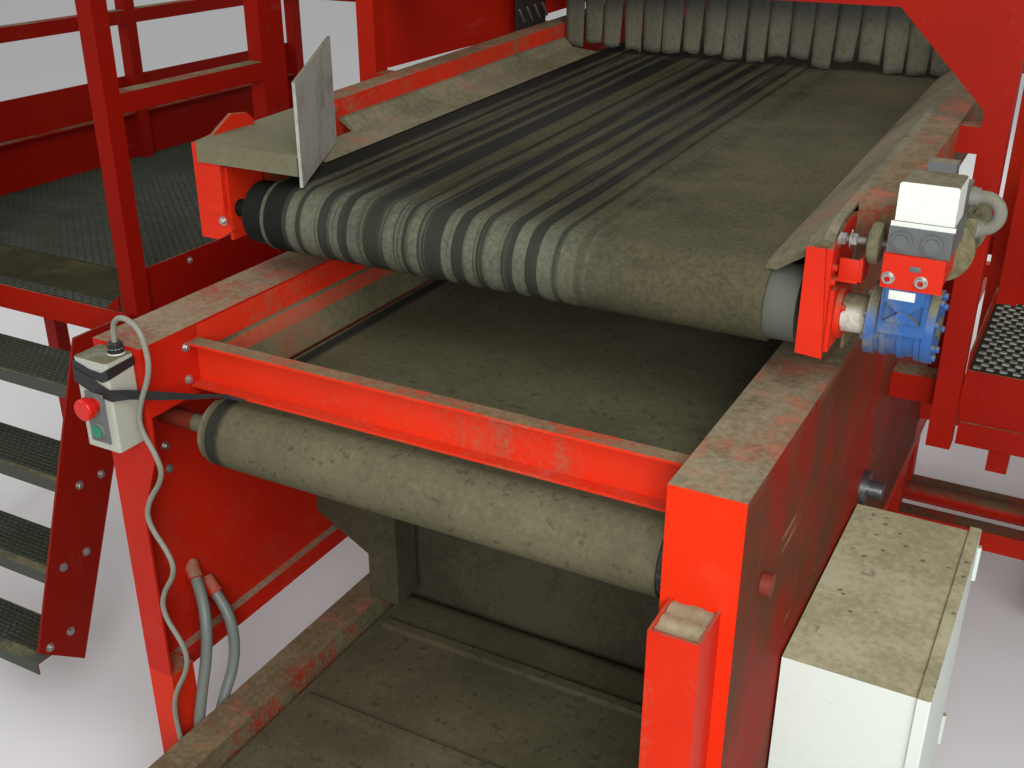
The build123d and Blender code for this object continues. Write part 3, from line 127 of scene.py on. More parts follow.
class Finish:
    """A material with its main shader, and one way to add any node."""
    def __init__(self, name, **constants):
        self.material = bpy.data.materials.new(name)
        self.material.use_nodes = True
        self.tree = self.material.node_tree
        self.shader = self.tree.nodes["Principled BSDF"]
        for socket, value in constants.items():
            self.shader.inputs[socket.replace("_", " ")].default_value = value
    def node(self, kind, settings, values, out=0):
        made = self.tree.nodes.new(kind)
        for key, value in settings.items():
            setattr(made, key, value)
        for key, value in values.items():
            target = made.inputs[key]
            if isinstance(value, Link):
                self.tree.links.new(value.socket, target)
            elif isinstance(value, tuple) and len(value) == 3 and target.type == "RGBA":
                target.default_value = (*value, 1.0)
            else:
                target.default_value = value
        return Link(self, made.outputs[out])
    def to(self, socket, value):
        self.tree.links.new(value.socket, self.shader.inputs[socket])
    def place(self):
        return self.node("ShaderNodeTexCoord", {}, {}, "Object")
    def noise(self, scale, detail=4.0, rough=0.55, stretch=(1, 1, 1), offset=(0, 0, 0)):
        mapping = {"Vector": self.place(), "Scale": stretch, "Location": offset}
        mapped = self.node("ShaderNodeMapping", {}, mapping)
        values = {"Vector": mapped, "Scale": scale, "Detail": detail, "Roughness": rough}
        return self.node("ShaderNodeTexNoise", {}, values, "Fac")
    def mix(self, amount, first, second):
        values = {"Factor": amount, 6: first, 7: second}
        return self.node("ShaderNodeMix", {"data_type": "RGBA"}, values, 2)
    def axis(self, which):
        return self.node("ShaderNodeSeparateXYZ", {}, {"Vector": self.place()}, which)
    def facing_up(self):
        normal = self.node("ShaderNodeNewGeometry", {}, {}, "Normal")
        return self.node("ShaderNodeSeparateXYZ", {}, {"Vector": normal}, "Z")
    def bump(self, height, distance, strength=0.5):
        values = {"Height": height, "Distance": distance, "Strength": strength}
        self.to("Normal", self.node("ShaderNodeBump", {}, values, "Normal"))

DUST_DARK, DUST = (0.084, 0.077, 0.040), (0.178, 0.164, 0.092)
print("dust", DUST)

# %% [markdown]
# Dry soil settles on whatever faces up and clings in patches to the sides. Every finish shares
# this dust: a mask from the way a surface faces and from three sizes of noise, so that the same
# thickness of soil never lies everywhere.

# %% Dust over any finish
def dusty(finish, clean, rough, top=1.0, side=0.25, grain=0.0006, shade=(DUST_DARK, DUST),
          full=1.0, run=0.22, rub=None, clean_below=None):
    """Cover a clean colour with dust: top is how much lies on flat faces, side on upright ones.

    full limits the thickest dust, run draws the upright streaks out, rub is the colour of rubbed
    patches, and below the height clean_below the flat faces stay nearly clean.
    """
    blots = finish.noise(2.6, 5.0, 0.6, offset=(4.2, 1.3, 6.6))
    patches = finish.noise(8.0, 7.0, 0.68)
    fine = finish.noise(85.0, 5.0, 0.7)
    runs = finish.noise(10.0, 5.0, 0.65, stretch=(1.0, 1.0, run))
    flat = finish.facing_up().step(0.25, 0.8)
    lying = patches * 0.55 + blots * 0.35 + fine * 0.22 + (top - 1.0) * 0.5
    lying = lying.step(0.42, 0.60) * min(top, 1.0) * full
    if clean_below:
        lying = lying * (finish.axis("Z").step(clean_below - 0.01, clean_below + 0.01) * 0.8 + 0.2)
    clinging = runs * 0.6 + blots * 0.25 + fine * 0.3 + (side - 0.5) * 0.35
    clinging = clinging.step(0.50, 0.72) * min(side * 1.6 + 0.15, 1.0)
    cover = (lying * flat + (clinging + side * 0.12) * (1.0 - flat)).clamp()
    soil = finish.mix((fine * 0.6 + patches * 0.5).step(0.38, 0.72), shade[0], shade[1])
    base = finish.mix(cover, clean, soil)
    if rub:
        rubbed = finish.noise(6.5, 7.0, 0.72, offset=(7.0, 3.0, 2.0)).step(0.50, 0.66)
        base = finish.mix(rubbed * (flat * 0.75 + 0.08), base, rub)
    finish.to("Base Color", base)
    finish.to("Roughness", cover * (0.92 - rough) + rough + (fine - 0.5) * 0.12)
    finish.bump(fine * cover + patches * 0.25, grain * 4, 0.6)
    return cover

def paint(name, colour, dark, rough=0.5, top=1.0, side=0.25, specular=0.15, **soil):
    """Old paint: slow changes of tone, faint scratches, pale scuffs, and dust over it."""
    finish = Finish(name, Specular_IOR_Level=specular)
    tone = finish.noise(2.2, 3.0, 0.5, offset=(3.1, 0.4, 7.7)).step(0.3, 0.75)
    scratch = finish.noise(38.0, 6.0, 0.75, stretch=(1.0, 0.12, 1.0), offset=(9.0, 2.0, 1.0))
    scratch = scratch.step(0.6, 0.72)
    scuff = finish.noise(13.0, 7.0, 0.75, offset=(2.0, 8.0, 5.0)).step(0.56, 0.68)
    scuff = scuff * finish.facing_up().step(0.3, 0.9)
    clean = finish.mix(tone, colour, dark)
    worn = tuple(0.45 * c + 0.14 for c in colour)
    clean = finish.mix(scratch * 0.12 + scuff * 0.45, clean, worn)
    dusty(finish, clean, rough, top, side, **soil)
    return finish.material

RED, RED_DARK = (0.64, 0.024, 0.004), (0.48, 0.012, 0.003)
# RED_DEEP and RED_SHADED are painted shade: darker copies of the same red for parts that stand in
# shade.
RED_DEEP, RED_DEEPER = (0.34, 0.009, 0.002), (0.24, 0.006, 0.002)
RED_SHADED, RUBBED = (0.21, 0.006, 0.002), (0.38, 0.115, 0.070)
LEDGE_SOIL = ((0.138, 0.120, 0.072), (0.275, 0.242, 0.155))
WHITE, WHITE_DULL = (0.62, 0.63, 0.57), (0.50, 0.51, 0.45)
BLUE, BLUE_DARK = (0.018, 0.105, 0.34), (0.012, 0.072, 0.24)
GREY, GREY_DARK = (0.12, 0.13, 0.135), (0.08, 0.085, 0.09)
SMEARED = {"full": 0.93, "run": 0.6, "rub": RUBBED}
red_paint = paint("red_paint", RED, RED_DARK, side=0.2, full=0.88)
red_rail = paint("red_paint_rail", RED, RED_DARK, side=0.3, full=0.9, clean_below=1.16)
# The left side sheet takes darker reds as painted shade, for its inner face that lies in shade; its
# soil and rubbed patches are real.
ledge_left = paint("ledge_paint_left", RED_DARK, RED_DEEP, top=1.12, side=0.06, full=0.9,
                   rub=RUBBED, shade=LEDGE_SOIL)
red_soiled = paint("red_paint_soiled", RED_DARK, RED_DEEP, top=1.15, side=0.7, **SMEARED)
red_upper = paint("red_paint_upper", RED, RED_DARK, top=1.12, side=0.42, **SMEARED)
# Painted shade: the first of these two reds serves the right guard, side panel, deck frames and
# portal frame, and the darker second one serves the left guard, the stringers and the gusset.
red_painted_shade = paint("red_paint_deep", RED_DEEP, RED_DEEPER, top=0.95, side=0.04, specular=0.1)
red_shaded = paint("red_paint_shaded", RED_SHADED, RED_DEEPER, top=0.95, side=0.02, specular=0.05)
white_paint = paint("white_paint", WHITE, WHITE_DULL, 0.4, top=0.95, side=0.25, specular=0.3)
blue_paint = paint("blue_paint", BLUE, BLUE_DARK, 0.35, top=1.05, side=0.42, specular=0.4)
blue_soiled = paint("blue_paint_soiled", BLUE, BLUE_DARK, 0.4, top=1.25, side=1.05, run=0.7)
grey_metal = paint("grey_metal", GREY, GREY_DARK, 0.45, top=0.95, side=0.4, specular=0.4)
print("paints", red_paint.name, white_paint.name, blue_paint.name)

# %% [markdown]
# The right side sheet is bright red only on its front. Its outer face is maroon and brown. The
# maroon is partly painted shade, and the brown is mud that was wiped off again and again; slanting
# scratches cross it. A mask on the Y coordinate keeps the front clean.

# %% The right side sheet
# The maroon is partly painted shade for the sheet's outer face, and the brown is mud.
MAROON_SHADE, BROWN = (0.225, 0.012, 0.004), (0.098, 0.032, 0.014)
SHEET_FRONT = -1.6635                        # just behind the sheet's front face, in metres

def shaded_muddy_sheet():
    finish = Finish("shaded_muddy_sheet", Specular_IOR_Level=0.06)
    broad = finish.noise(2.4, 5.0, 0.6, offset=(2.0, 6.0, 1.0))
    smear = finish.noise(7.0, 6.0, 0.65, stretch=(1.0, 1.0, 0.5), offset=(5.0, 1.0, 8.0))
    slanting = {"Vector": finish.place(), "Rotation": (0.85, 0.0, 0.0), "Scale": (1.0, 0.05, 1.0)}
    turned = finish.node("ShaderNodeMapping", {}, slanting)
    hairs = {"Vector": turned, "Scale": 55.0, "Detail": 2.0}
    lines = finish.node("ShaderNodeTexNoise", {}, hairs, "Fac").step(0.66, 0.72)
    lines = lines * smear.step(0.5, 0.62)
    # The maroon here partly paints shade on this face, and the brown is mud.
    worn = finish.mix((broad * 0.6 + smear * 0.45).step(0.44, 0.64), MAROON_SHADE, BROWN)
    worn = finish.mix(lines * 0.5, worn, (0.42, 0.22, 0.15))
    rim = finish.axis("Z").step(1.190, 1.228) * smear.step(0.42, 0.6)
    worn = finish.mix(rim * 0.6, worn, (0.20, 0.125, 0.075))
    front = 1.0 - finish.axis("Y").step(SHEET_FRONT - 0.001, SHEET_FRONT + 0.001)
    clean = finish.mix(front, worn, RED)
    dusty(finish, clean, 0.6, 1.12, 0.0, full=0.86, rub=RUBBED, shade=LEDGE_SOIL)
    return finish.material

shaded_muddy = shaded_muddy_sheet()
print("side sheet", shaded_muddy.name)

# %% [markdown]
# Three parts carry several colours. The steps have red stringers and bare grey treads, the upper
# head drum is black on the left and bare steel on the right, and the middle drums' shaft ends are
# painted with the side sheets. A mask on the X coordinate parts the colours.

# %% Parts of several colours
BARE_TREAD = (0.060, 0.065, 0.052)
DRUM_BLACK, DRUM_BARE = (0.008, 0.008, 0.007), (0.090, 0.096, 0.076)

def two_colours(name, low, high, inner, outer, rough=0.5, top=0.9, side=0.1, specular=0.3):
    """The inner colour lies between two X values in metres, the outer one beyond them."""
    finish = Finish(name, Specular_IOR_Level=specular)
    middle = finish.axis("X").between(low, high, 0.0005)
    dusty(finish, finish.mix(middle, outer, inner), rough, top, side)
    return finish.material

# The stringers' darker red is painted shade; the bare treads keep their own grey.
steps_paint = two_colours("steps_paint", -1.594, -1.066, BARE_TREAD, RED_SHADED, specular=0.1)
head_drum = two_colours("head_drum", -0.70, 0.30, DRUM_BLACK, DRUM_BARE, 0.7, 0.2, 0.08, 0.1)

DRUM_END = 0.5                               # where the middle drums' shaft ends begin, in metres

def middle_drum_finish():
    """Red shaft ends, a soiled left end, and a dark band that the belt wipes clean."""
    finish = Finish("middle_drum", Specular_IOR_Level=0.3)
    x = finish.axis("X")
    fine = finish.noise(70.0, 5.0, 0.7)
    soil = finish.mix(fine.step(0.35, 0.65), (0.120, 0.112, 0.070), (0.165, 0.155, 0.102))
    band = finish.mix(fine.step(0.4, 0.7), (0.020, 0.022, 0.020), (0.075, 0.078, 0.070))
    base = finish.mix(x.step(-0.42, -0.40), soil, band)
    # The shaft ends take the side sheet's maroon, which is partly painted shade.
    outside = 1.0 - x.between(-DRUM_END, DRUM_END, 0.001)
    finish.to("Base Color", finish.mix(outside, base, (0.18, 0.025, 0.012)))
    finish.to("Roughness", fine * 0.3 + 0.4)
    finish.bump(fine, 0.001, 0.4)
    return finish.material

middle_drum = middle_drum_finish()
print("several colours", steps_paint.name, middle_drum.name, head_drum.name)

# %% [markdown]
# The cabinet is white, but rain and soil have dried on its top to a pale khaki crust with round
# darker marks where clods lay. A Voronoi texture gives the marks and a noise decides how many stay.

# %% Cabinet paint with a crusted top
def crusted(name, colour):
    """Paint whose flat top is crusted, with small and large marks where clods lay."""
    finish = Finish(name, Specular_IOR_Level=0.3)
    patches = finish.noise(7.0, 6.0, 0.6)
    fine = finish.noise(60.0, 6.0, 0.7)

    def spots(scale, low, high):
        values = {"Vector": finish.place(), "Scale": scale, "Randomness": 1.0}
        distance = finish.node("ShaderNodeTexVoronoi", {}, values, "Distance")
        return 1.0 - (distance + fine * 0.3).step(low, high)

    some = finish.noise(9.0, 2.0, 0.5, offset=(1.0, 5.0, 9.0)).step(0.50, 0.58)
    large = spots(13.0, 0.30, 0.35) * patches.step(0.50, 0.56) * 0.7
    marks = (spots(34.0, 0.28, 0.36) * some + large).clamp()
    crust = (patches * 0.6 + fine * 0.5).step(0.42, 0.68)
    crust = finish.mix(crust, (0.285, 0.268, 0.155), (0.455, 0.435, 0.280))
    crust = finish.mix(marks * 0.7, crust, (0.095, 0.088, 0.050))
    flat = finish.facing_up().step(0.25, 0.8)
    chips = finish.noise(24.0, 4.0, 0.6, offset=(8.0, 8.0, 1.0)).step(0.74, 0.77)
    film = (patches * 0.5 + fine * 0.5).step(0.5, 0.8) * 0.2
    clean = finish.mix(film + chips * 0.5, colour, (0.25, 0.235, 0.15))
    finish.to("Base Color", finish.mix(flat, clean, crust))
    finish.to("Roughness", flat * 0.5 + 0.38)
    finish.bump(fine * flat + marks * flat * 0.5, 0.002, 0.5)
    return finish.material

cabinet_paint = crusted("cabinet_paint", (0.66, 0.73, 0.66))
print("crusted", cabinet_paint.name)

# %% [markdown]
# Sheets near the crop are so soiled that little paint shows. Their dust is nearly whole, with
# pinkish scuffs where the paint comes through. The liners' upright edge stays red, so a mask on
# height brings the paint back there.

# %% Soiled sheets
def soiled(name, show=0.25, colour=RED_DARK, pale=DUST, dark=DUST_DARK, red_above=None):
    """Nearly whole dust; show is how much of the colour below comes through."""
    finish = Finish(name, Specular_IOR_Level=0.2)
    patches = finish.noise(3.4, 7.0, 0.68, offset=(1.7, 5.2, 0.3))
    fine = finish.noise(70.0, 6.0, 0.75)
    speck = finish.noise(160.0, 3.0, 0.6)
    soil = finish.mix((patches * 0.7 + fine * 0.5).step(0.42, 0.78), dark, pale)
    bare = (patches * 0.8 + fine * 0.25).step(0.62 - show * 0.3, 0.8 - show * 0.25)
    tint = finish.mix(0.45, dark, colour)
    base = finish.mix(bare * 0.8, soil, tint)
    if red_above:
        z = finish.axis("Z")
        edge = z.step(red_above - 0.002, red_above + 0.002)
        lower = z.between(red_above - 0.032, red_above - 0.008, 0.002)
        clear = 1.0 - (fine * 0.4 + patches * 0.6).step(0.5, 0.66) * 0.75
        base = finish.mix((edge + lower * 0.5).clamp() * clear, base, RED)
    finish.to("Base Color", base)
    finish.to("Roughness", fine * 0.15 + 0.8)
    finish.bump(fine * 0.6 + speck * 0.4, 0.0022, 0.55)
    return finish.material

dusty_skirt = soiled("dusty_skirt", 0.28, pale=(0.215, 0.196, 0.125))
dusty_liner = soiled("dusty_liner", 0.3, red_above=1.164)
dusty_shelf = soiled("dusty_shelf", 0.05, (0.10, 0.09, 0.06),
                     pale=(0.165, 0.157, 0.093), dark=(0.125, 0.116, 0.068))
dusty_crust = soiled("dusty_crust", 0.0, (0.20, 0.18, 0.12),
                     pale=(0.330, 0.300, 0.190), dark=(0.190, 0.172, 0.105))
dusty_wall = soiled("dusty_wall", 0.1, (0.05, 0.045, 0.03),
                    pale=(0.085, 0.078, 0.046), dark=(0.042, 0.038, 0.022))
print("soiled", dusty_skirt.name, dusty_liner.name)

# %% [markdown]
# The belts are black rubber under soil. The middle and lower ones are evenly brown, with clods'
# marks and small dark pits where crumbs have fallen off. The curtain is the same rubber, wiped
# clean near its top.

# %% Soiled belts
def belt(name, amount, soil, rubber=(0.016, 0.018, 0.017), pits=0.5, bare_above=None, band=None):
    """Rubber under soil; band is a range of X that is wiped black."""
    finish = Finish(name, Specular_IOR_Level=0.2)
    patches = finish.noise(4.5, 6.0, 0.65)
    fine = finish.noise(90.0, 6.0, 0.75)
    pit = finish.noise(48.0, 4.0, 0.6, offset=(6.0, 2.0, 3.0)).step(0.60, 0.66)
    cover = (patches * 0.6 + fine * 0.4 + amount - 0.5).step(0.3, 0.62)
    cover = cover * (0.75 + amount * 0.25)
    if bare_above:
        bare = finish.axis("Z").step(bare_above - 0.03, bare_above + 0.05)
        cover = cover * (1.0 - bare * 0.75)
    tone = (fine * 0.5 + patches * 0.6).step(0.38, 0.78)
    tone = finish.mix(tone, tuple(0.55 * c for c in soil), soil)
    tone = finish.mix(pit * pits, tone, tuple(0.25 * c for c in soil))
    base = finish.mix(cover.clamp(), rubber, tone)
    if band:
        x = finish.axis("X")
        wiped = x.step(band[0] - 0.002, band[0] + 0.002)
        wiped = wiped * (1.0 - x.step(band[1] - 0.004, band[1] + 0.012))
        base = finish.mix(wiped * 0.9, base, (0.017, 0.018, 0.016))
    finish.to("Base Color", base)
    finish.to("Roughness", cover * 0.4 + 0.45)
    finish.bump(fine * 0.5 - pit * 0.6, 0.0018, 0.5)
    return finish.material

middle_rubber = belt("middle_belt_rubber", 0.95, (0.140, 0.129, 0.072), band=(-0.421, -0.396))
lower_rubber = belt("lower_belt_rubber", 0.9, (0.112, 0.099, 0.055))
curtain_rubber = belt("curtain_rubber", 0.92, (0.138, 0.134, 0.092), (0.010, 0.011, 0.014), 0.2,
                      bare_above=1.585)
print("belts", middle_rubber.name, lower_rubber.name)

# %% [markdown]
# On the upper belt, crop and scrapers draw lines along the run. Noise that is stretched along the
# belt and squeezed across it gives them, and because it reads the place in space, they run on round
# the drum. The left edge stays black with one pale ring, and the right third is evenly brown.

# %% The striped upper belt
def striped_belt():
    finish = Finish("upper_belt_rubber", Specular_IOR_Level=0.08)
    x, y = finish.axis("X"), finish.axis("Y")
    along = (1.0, 0.012, 0.012)
    run = finish.node("ShaderNodeMapping", {}, {"Vector": finish.place(), "Scale": along})
    bands = {"Vector": run, "Scale": 5.6, "Distortion": 7.0, "Detail": 2.0, "Detail Scale": 1.7}
    kind = {"wave_type": "BANDS", "bands_direction": "X"}
    wide = finish.node("ShaderNodeTexWave", kind, bands, "Fac")
    thin = finish.noise(75.0, 2.0, 0.6, stretch=along, offset=(5.0, 0.3, 0.8))
    hair = finish.noise(260.0, 1.0, 0.5, stretch=along, offset=(2.0, 0.6, 0.1))
    patches = finish.noise(6.0, 6.0, 0.65)
    fine = finish.noise(110.0, 6.0, 0.75)
    stripe = (wide * 0.22 + thin * 0.50 + hair * 0.30 + patches * 0.04).step(0.46, 0.59)
    right = (x + patches * 0.22).step(0.20, 0.38)
    black_band = 1.0 - x.step(-0.437, -0.429)
    ring = x.between(-0.4865, -0.4775, 0.0015)
    # Where the belt rounds the front of the drum its soil is lighter and greyer: painted light,
    # since the belt is the same all round.
    drum_painted_light = 1.0 - y.step(-1.33, -1.14)
    cover = (stripe * (1.0 - right) * 0.92 + right) * (1.0 - black_band)
    cover = (cover + ring * 0.8 + 0.05).clamp()
    soil = finish.mix(drum_painted_light, (0.058, 0.054, 0.029), (0.130, 0.134, 0.094))
    soil = finish.mix(right, soil, (0.082, 0.074, 0.043))
    thin_soil = 1.0 - (fine * 0.6 + patches * 0.4).step(0.36, 0.62)
    soil = finish.mix(thin_soil * 0.5, soil, (0.014, 0.013, 0.008))
    # The bare rubber is painted less black on the drum's front, the same painted light.
    dark = drum_painted_light * (1.0 - black_band)
    dark = finish.mix(dark, (0.007, 0.008, 0.006), (0.026, 0.028, 0.021))
    finish.to("Base Color", finish.mix(cover, dark, soil))
    finish.to("Roughness", cover * 0.1 + 0.85)
    finish.bump(fine * 0.4 + stripe * 0.5, 0.0016, 0.5)
    return finish.material

upper_rubber = striped_belt()
print("belt", upper_rubber.name)

# %% [markdown]
# Bare steel is brushed by stretched noise and turns from metal to dust where soil lies on it.
# Plastics are plain, with the same dust.

# %% Bare steel and plastics
def steel(name, colour, rough, top=0.7, side=0.25, metal=0.85, shade=(DUST_DARK, DUST)):
    finish = Finish(name, Specular_IOR_Level=0.2)
    brushed = finish.noise(30.0, 5.0, 0.7, stretch=(0.06, 1.0, 1.0))
    clean = finish.mix(brushed.step(0.3, 0.7), tuple(0.75 * c for c in colour), colour)
    cover = dusty(finish, clean, rough, top, side, shade=shade)
    finish.to("Metallic", (1.0 - cover) * metal)
    return finish.material

drum_steel = steel("drum_steel", (0.16, 0.17, 0.18), 0.28, top=0.6, side=0.3)
bright_steel = steel("bright_steel", (0.50, 0.49, 0.46), 0.34, top=0.6, side=0.15)
DARK_SOIL = ((0.010, 0.010, 0.005), (0.036, 0.034, 0.017))

def deck_finish():
    """Dark trodden plate; the smooth strip at the left deck's front is brown with soil."""
    finish = Finish("deck_plate", Specular_IOR_Level=0.08)
    x, y = finish.axis("X"), finish.axis("Y")
    worn = finish.noise(14.0, 6.0, 0.7)
    plate = finish.mix(worn.step(0.35, 0.65), (0.011, 0.013, 0.008), (0.026, 0.030, 0.020))
    strip = y.step(-1.117, -1.111) * (1.0 - y.step(-0.940, -0.932)) * (1.0 - x.step(-1.0, -0.9))
    plate = finish.mix(strip * (worn * 0.5 + 0.62), plate, (0.062, 0.057, 0.022))
    dusty(finish, plate, 0.6, 0.97, 0.3, shade=DARK_SOIL)
    return finish.material

deck_plate = deck_finish()
# Two copies of the same teeth: the brighter one paints light on the right deck, and the darker one
# paints shade on the left deck and the treads.
deck_teeth = steel("deck_teeth", (0.24, 0.27, 0.24), 0.5, 0.88, 0.3, 0.4, DARK_SOIL)
teeth_painted_shade = steel("teeth_painted_shade", (0.062, 0.074, 0.056), 0.65, 0.95, 0.3, 0.15, DARK_SOIL)

def plastic(name, colour, rough, top=0.5, side=0.12, shade=(DUST_DARK, DUST), run=0.22):
    finish = Finish(name, Specular_IOR_Level=0.35)
    fine = finish.noise(220.0, 3.0, 0.6)
    clean = finish.mix(fine.step(0.2, 0.8), tuple(0.92 * c for c in colour), colour)
    dusty(finish, clean, rough, top, side, grain=0.0002, shade=shade, run=run)
    return finish.material

SMEAR = ((0.10, 0.092, 0.055), (0.20, 0.188, 0.118))
white_plastic = plastic("white_plastic", (0.66, 0.69, 0.63), 0.45, top=1.3, side=0.06)
box_plastic = plastic("box_plastic", (0.40, 0.42, 0.35), 0.5, top=1.15, side=0.12)
plate_plastic = plastic("plate_plastic", (0.36, 0.365, 0.32), 0.6, top=1.2, side=0.42,
                        shade=SMEAR, run=0.9)
cover_plastic = plastic("cover_plastic", (0.60, 0.60, 0.52), 0.5, top=1.2, side=0.35)
soiled_plastic = plastic("soiled_plastic", (0.16, 0.16, 0.13), 0.6, top=1.3, side=1.0, run=0.7)
grey_plastic = plastic("grey_plastic", (0.20, 0.21, 0.19), 0.5, top=1.0, side=0.5)
black_plastic = plastic("black_plastic", (0.016, 0.016, 0.018), 0.4, top=0.7, side=0.12)
red_plastic = plastic("red_plastic", (0.58, 0.012, 0.006), 0.25, top=0.3, side=0.05)
green_plastic = plastic("green_plastic", (0.015, 0.20, 0.11), 0.35, top=0.3, side=0.08)
cord_grey = plastic("cord_grey", (0.165, 0.185, 0.165), 0.42, top=0.7, side=0.25)
cable_grey = plastic("cable_grey", (0.24, 0.24, 0.20), 0.5, top=0.8, side=0.4)
tyre_rubber = plastic("tyre_rubber", (0.025, 0.025, 0.024), 0.7, top=0.8, side=0.5)
print("plastics ready")

# %% [markdown]
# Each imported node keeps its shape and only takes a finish, through its object's material slot.

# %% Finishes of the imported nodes
FINISHES = {
    "upper_belt": upper_rubber, "middle_belt": middle_rubber, "lower_belt": lower_rubber,
    "upper_head_drum": head_drum, "upper_tail_drum": drum_steel, "middle_drums": middle_drum,
    "lower_drums": drum_steel, "shaft_stub": drum_steel, "jack_leg": bright_steel,
    "upper_skirts": dusty_skirt, "middle_liners": dusty_liner, "deflector_shelf": dusty_shelf,
    "lower_back_wall": dusty_wall, "deflector_plate": plate_plastic, "gearbox": blue_paint,
    "gear_adapter": red_paint, "motor_terminal_block": grey_metal, "terminal_box": white_plastic,
    "drive_motor": blue_soiled, "shaft_cover": cover_plastic, "cabinet": cabinet_paint,
    "cabinet_door": cabinet_paint, "stop_box": box_plastic, "stop_button": red_plastic,
    "start_button": green_plastic, "left_deck": deck_plate, "right_deck": deck_plate,
    "infeed_curtain": curtain_rubber, "tyre_left": tyre_rubber, "tyre_right": tyre_rubber,
    "rim_left": white_paint, "rim_right": white_paint, "conduit_loop": grey_plastic,
    # The guards, steps, side panel, deck frames and portal frame take the darker reds that are
    # painted shade.
    "left_guard": red_shaded, "right_guard": red_painted_shade, "steps": steps_paint, "side_panel": red_painted_shade,
    "deck_frames": red_painted_shade, "portal_frame": red_painted_shade, "lower_side_left": red_soiled,
    "lower_side_right": red_soiled, "middle_side_right": shaded_muddy, "upper_side_left": red_upper,
    "upper_side_right": red_soiled, "middle_side_left": ledge_left, "front_rail": red_rail,
}
for name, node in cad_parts.items():
    node.data.materials.clear()
    node.data.materials.append(FINISHES.get(name, red_paint))
print("finished", len(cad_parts), "nodes")

# %% [markdown]
# A cable and two hoses hang on the left. Each is a smooth curve through the same points that the
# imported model's plain tube follows, so it stays where the machine's own glands and sockets are.

# %% Cords
SOCKET_TOP, GLAND_TOP = 285, 1228            # all points in millimetres
HOSE_LONG = [
    (-565, -1531, 632), (-535, -1548, 608), (-510, -1572, 560), (-505, -1588, 495),
    (-505, -1615, 420), (-505, -1638, 345), (-505, -1638, SOCKET_TOP),
]
HOSE_SHORT = [
    (-560, -1487, 572), (-538, -1489, 550), (-516, -1496, 515), (-507, -1503, 462),
    (-505, -1522, 412), (-505, -1552, 373), (-505, -1577, 331), (-505, -1577, SOCKET_TOP),
]
CABLE = [
    (-518, -1680, GLAND_TOP), (-518, -1680, 1256), (-503, -1683, 1279), (-476, -1687, 1287),
    (-446, -1690, 1276), (-434, -1690, 1248), (-432, -1690, 1196), (-472, -1690, 1122),
    (-479, -1690, 1078), (-447, -1690, 1032), (-438, -1690, 990), (-488, -1690, 925),
    (-497, -1690, 878), (-452, -1690, 822), (-446, -1690, 782), (-488, -1690, 722),
    (-494, -1690, 672), (-450, -1690, 614), (-449, -1690, 562), (-496, -1690, 482),
    (-507, -1690, 432), (-505, -1690, 382), (-499, -1690, 335), (-499, -1690, SOCKET_TOP),
]
HOSE_RADIUS, CABLE_RADIUS = 0.012, 0.005     # metres

def hang(name, node, route, radius, length, material):
    """A round cord on a smooth spline of order 3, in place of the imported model's tube."""
    curve = bpy.data.curves.new(name, "CURVE")
    curve.dimensions = "3D"
    curve.bevel_depth, curve.bevel_resolution, curve.resolution_u = radius, 4, 10
    curve.use_fill_caps = True
    spline = curve.splines.new("NURBS")
    spline.points.add(len(route) - 1)
    for point, (x, y, z) in zip(spline.points, route):
        point.co = (x / 1000, y / 1000, z / 1000, 1.0)
    spline.order_u = 3
    spline.use_endpoint_u = True
    curve.materials.append(material)
    piece = bpy.data.objects.new(name, curve)
    bpy.context.scene.collection.objects.link(piece)
    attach(piece, "machine")
    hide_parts(node)
    print(name, length, "m")

hang("long_hose", "hose_long", HOSE_LONG, HOSE_RADIUS, 0.385, cord_grey)
hang("short_hose", "hose_short", HOSE_SHORT, HOSE_RADIUS, 0.323, cord_grey)
hang("stop_cable", "control_cable", CABLE, CABLE_RADIUS, 1.184, cable_grey)

# %% [markdown]
# Small parts share a few tools. Each shape starts as a cube, cone, grid, flat face or turned
# profile, gets its size, direction and place in its own mesh, and becomes an object that stays at
# the origin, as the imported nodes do. Then a finish on Object coordinates never slides.

# %% Helpers for new pieces
def added(shape, known):
    """The vertices that a shape has gained since a set of them was noted."""
    return [vert for vert in shape.verts if vert not in known]

def swept_verts(swept):
    """The vertices among the geometry that an extrusion made."""
    return [item for item in swept["geom"] if isinstance(item, bmesh.types.BMVert)]

def set_down(shape, verts, at, along=(0, 0, 1), twist=0.0):
    """Turn vertices from +Z to a direction and move them to a point in millimetres."""
    turn = Vector((0, 0, 1)).rotation_difference(Vector(along).normalized()).to_matrix()
    turn = turn @ Matrix.Rotation(twist, 3, "Z")
    bmesh.ops.rotate(shape, cent=(0, 0, 0), matrix=turn, verts=verts)
    bmesh.ops.translate(shape, vec=Vector(at) / 1000, verts=verts)

def block(shape, low, high, round_off=0.0):
    """A box between two corners in millimetres, with its edges rounded off."""
    low, high = Vector(low) / 1000, Vector(high) / 1000
    made = bmesh.ops.create_cube(shape, size=1.0)["verts"]
    bmesh.ops.scale(shape, vec=high - low, verts=made)
    bmesh.ops.translate(shape, vec=(low + high) / 2, verts=made)
    if round_off:
        edges = list({edge for vert in made for edge in vert.link_edges})
        bmesh.ops.bevel(shape, geom=edges, offset=round_off / 1000, segments=2, profile=0.5,
                        affect="EDGES", material=-1)

def lathe(shape, rings, at, along=(0, 0, 1), sides=24):
    """A turned part: an outline of (radius, distance) points in millimetres, spun about an axis."""
    known = set(shape.verts)
    points = [shape.verts.new((radius / 1000, 0.0, far / 1000)) for radius, far in rings]
    edges = [shape.edges.new(pair) for pair in zip(points, points[1:])]
    bmesh.ops.spin(shape, geom=points + edges, cent=(0, 0, 0), axis=(0, 0, 1), angle=2 * math.pi,
                   steps=sides, use_merge=True)
    bmesh.ops.remove_doubles(shape, verts=added(shape, known), dist=1e-6)
    set_down(shape, added(shape, known), at, along)

